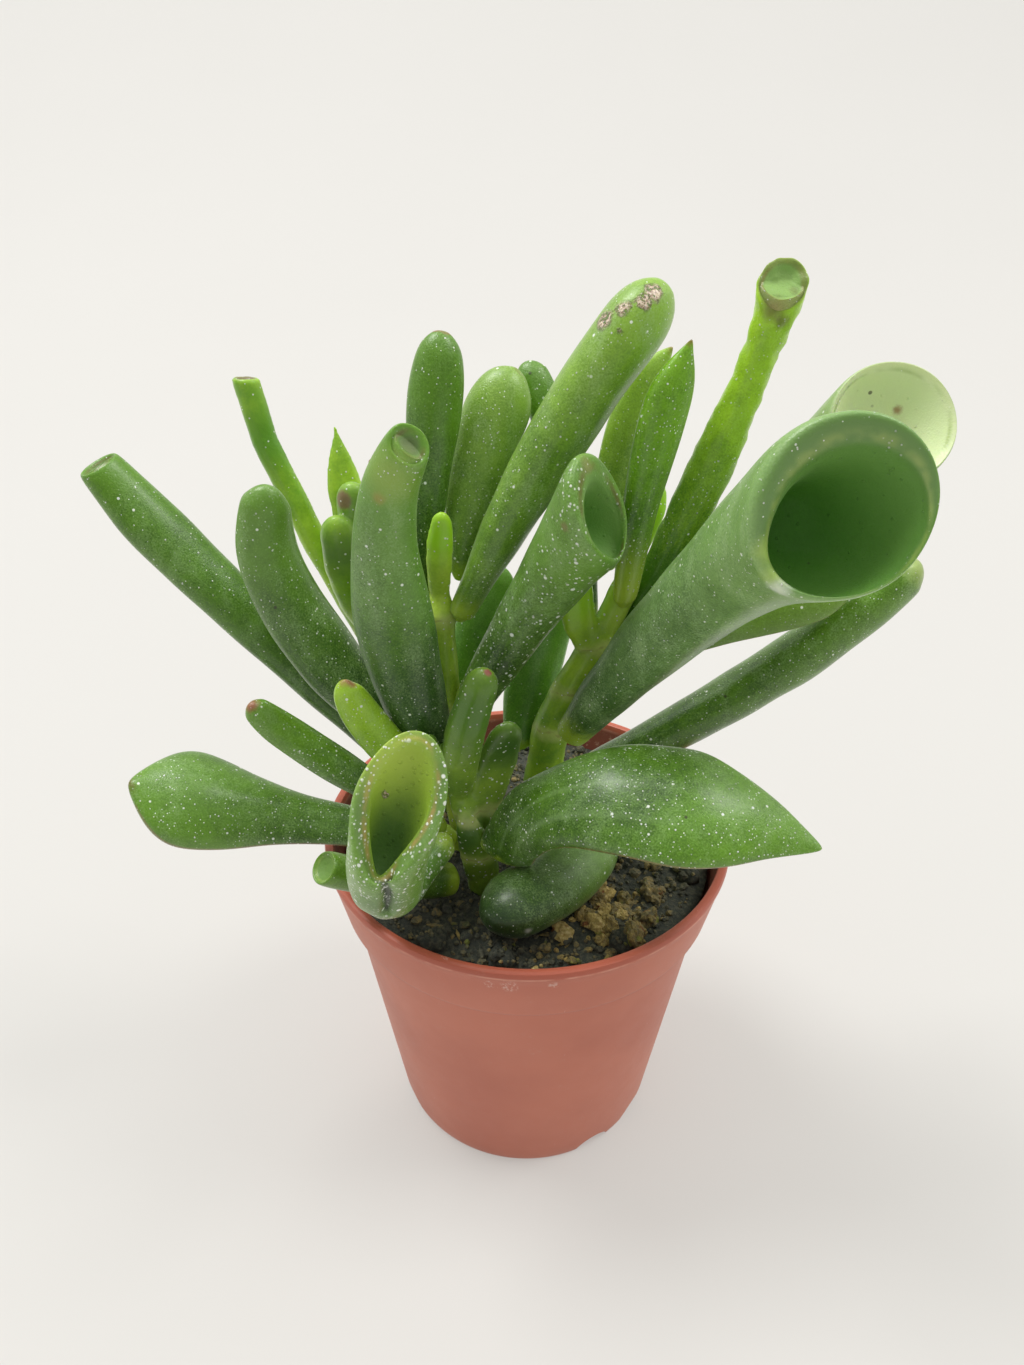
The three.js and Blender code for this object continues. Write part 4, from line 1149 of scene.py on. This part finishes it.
# %% [markdown]
# One finish serves the plug and the crumbs. Each crumb carries a number, its tone, and a colour ramp
# turns it from near black through brown and olive to tan. The plug has no such number and reads
# zero, so it stays dark.

# %% Paint the soil
MOSS = (0.18, 0.22, 0.03)
RED_BARK = (0.18, 0.045, 0.02)
SOIL_SCALE = [
    (0.0, (0.052, 0.058, 0.048)), (0.3, (0.13, 0.128, 0.085)), (0.55, (0.27, 0.21, 0.085)),
    (0.75, (0.46, 0.34, 0.11)), (1.0, (0.72, 0.59, 0.29)),
]


def soil_finish():
    finish = Finish("potting_soil", Specular_IOR_Level=0.25)
    tone = finish.reading("tone")
    grain = finish.clouds(1.6, 5, 0.65)
    fine = finish.clouds(6.0, 3, 0.6)
    shade = tone * 0.8 + (grain - 0.45) + (fine - 0.5) * 0.3
    colour = finish.node("ShaderNodeValToRGB", {"stops": SOIL_SCALE}, {"Fac": shade}, "Color")
    mossy = finish.clouds(0.35, 3).rise(0.6, 0.7) * tone.rise(0.2, 0.5)
    colour = finish.mix(colour, MOSS, mossy * 0.7)
    patchy = finish.clouds(0.5, 2, 0.5, finish.stretched(1, 1.3, 1))
    reddish = patchy.rise(0.62, 0.7) * tone.rise(0.4, 0.7)
    colour = finish.mix(colour, RED_BARK, reddish * 0.8)
    finish.feed("Base Color", colour)
    finish.feed("Roughness", 0.7 + fine * 0.3)
    finish.bump(grain + fine * 0.6, 0.35)
    return finish.material


soil_material = soil_finish()
for piece in [soil, *crumbs]:
    piece.data.materials.clear()
    piece.data.materials.append(soil_material)
print("soil finish on", 1 + len(crumbs), "pieces")

# %% [markdown]
# ## The studio
#
# The plant stands on a pale sheet that curves up behind it, so that no horizon shows. The light is
# as soft as in a white room: a sky that is bright above and behind and dimmer towards the camera,
# and two windows, left and right, that put a sheen on the leaves. A third lamp washes the back of
# the sheet, and the sheet glows a little itself, so that it stays as even as a lit wall.

# %% Lay the sheet
SHEET = 1.6
SHEET_RISE = 2.2
SHEET_BEND = 1.2
PAPER_DARK = (0.35, 0.344, 0.33)
PAPER_LIGHT = (0.37, 0.364, 0.35)
bpy.ops.object.select_all(action="DESELECT")
bpy.ops.mesh.primitive_plane_add(size=2 * SHEET, location=(0, 0, 0))
sheet = bpy.context.object
sheet.name = "paper_sheet"
bpy.ops.object.mode_set(mode="EDIT")
bpy.ops.mesh.select_mode(type="EDGE")
bpy.ops.mesh.select_all(action="DESELECT")
edit = bmesh.from_edit_mesh(sheet.data)
for edge in edit.edges:
    edge.select = all(v.co.y > SHEET - 0.01 for v in edge.verts)
bmesh.update_edit_mesh(sheet.data)
bpy.ops.mesh.extrude_edges_move(TRANSFORM_OT_translate={"value": (0, 0, SHEET_RISE)})
bpy.ops.mesh.select_all(action="SELECT")
bpy.ops.object.mode_set(mode="OBJECT")
apply_modifier(sheet, "BEVEL", width=SHEET_BEND, segments=24, limit_method="ANGLE")
only(sheet)
bpy.ops.object.shade_smooth()

paper = Finish(
    "pale_paper", Roughness=0.9, Specular_IOR_Level=0.1, Emission_Color=(1.0, 0.98, 0.93, 1),
    Emission_Strength=0.34)
paper.feed("Base Color", paper.mix(PAPER_DARK, PAPER_LIGHT, paper.clouds(0.004, 3)))
sheet.data.materials.append(paper.material)
print("sheet:", [round(v, 2) for v in sheet.dimensions], "m")

# %% Light it
SKY_DIM = (0.2, 0.2, 0.2)
SKY_BRIGHT = (1.05, 1.04, 1.02)
world = bpy.data.worlds.new("soft_sky")
bpy.context.scene.world = world
world.use_nodes = True
sky = Web(world.node_tree)
direction = sky.node("ShaderNodeTexCoord", {}, {}, "Generated")
ahead = sky.node("ShaderNodeSeparateXYZ", {}, {"Vector": direction}, "Y")
above = sky.node("ShaderNodeSeparateXYZ", {}, {"Vector": direction}, "Z")
white = sky.mix(SKY_DIM, SKY_BRIGHT, (above * 0.75 + ahead * 0.5).rise(-0.5, 0.95))
sky.tree.links.new(white.socket, sky.tree.nodes["Background"].inputs["Color"])


def soft_lamp(name, place, size, watts, colour, aim=(0, 0, 0.06)):
    lamp = bpy.data.lights.new(name, "AREA")
    lamp.shape = "DISK"
    lamp.size = size
    lamp.energy = watts
    lamp.color = colour
    holder = bpy.data.objects.new(name, lamp)
    holder.location = place
    holder.rotation_euler = (Vector(aim) - Vector(place)).to_track_quat("-Z", "Y").to_euler()
    bpy.context.scene.collection.objects.link(holder)
    print(name, watts, "W")


soft_lamp("left_window", (-0.8, 0.3, 1.8), 0.8, 21, (1.0, 1.0, 0.99))
soft_lamp("right_window", (1.0, 0.0, 1.6), 0.6, 9.5, (1.0, 0.99, 0.97))
soft_lamp("back_wash", (0.0, 0.8, 1.5), 1.4, 4, (1.0, 1.0, 1.0), (0.0, 1.9, 0.5))

# %% [markdown]
# The camera looks down at the plant from close by, with a wide lens, which is why the upper leaves
# look so large against the foot of the pot. Its place and tilt were found from the ellipses of the
# rim, the band and the foot.

# %% Place the camera
CAMERA_PLACE = (0, -0.11878, 0.15236)
LOOKS_DOWN = math.radians(32.28)
TURNED_LEFT = math.radians(1.09)
FOCAL_LENGTH = 27.03

lens = bpy.data.cameras.new("camera")
lens.lens = FOCAL_LENGTH
lens.sensor_width = 36
lens.clip_start = 0.005
camera = bpy.data.objects.new("camera", lens)
camera.location = CAMERA_PLACE
camera.rotation_euler = (math.pi / 2 - LOOKS_DOWN, 0, TURNED_LEFT)
bpy.context.scene.collection.objects.link(camera)
bpy.context.scene.camera = camera
bpy.context.scene.view_settings.view_transform = "Standard"
print("camera:", round(camera.location.length / MM), "mm from the foot of the pot")
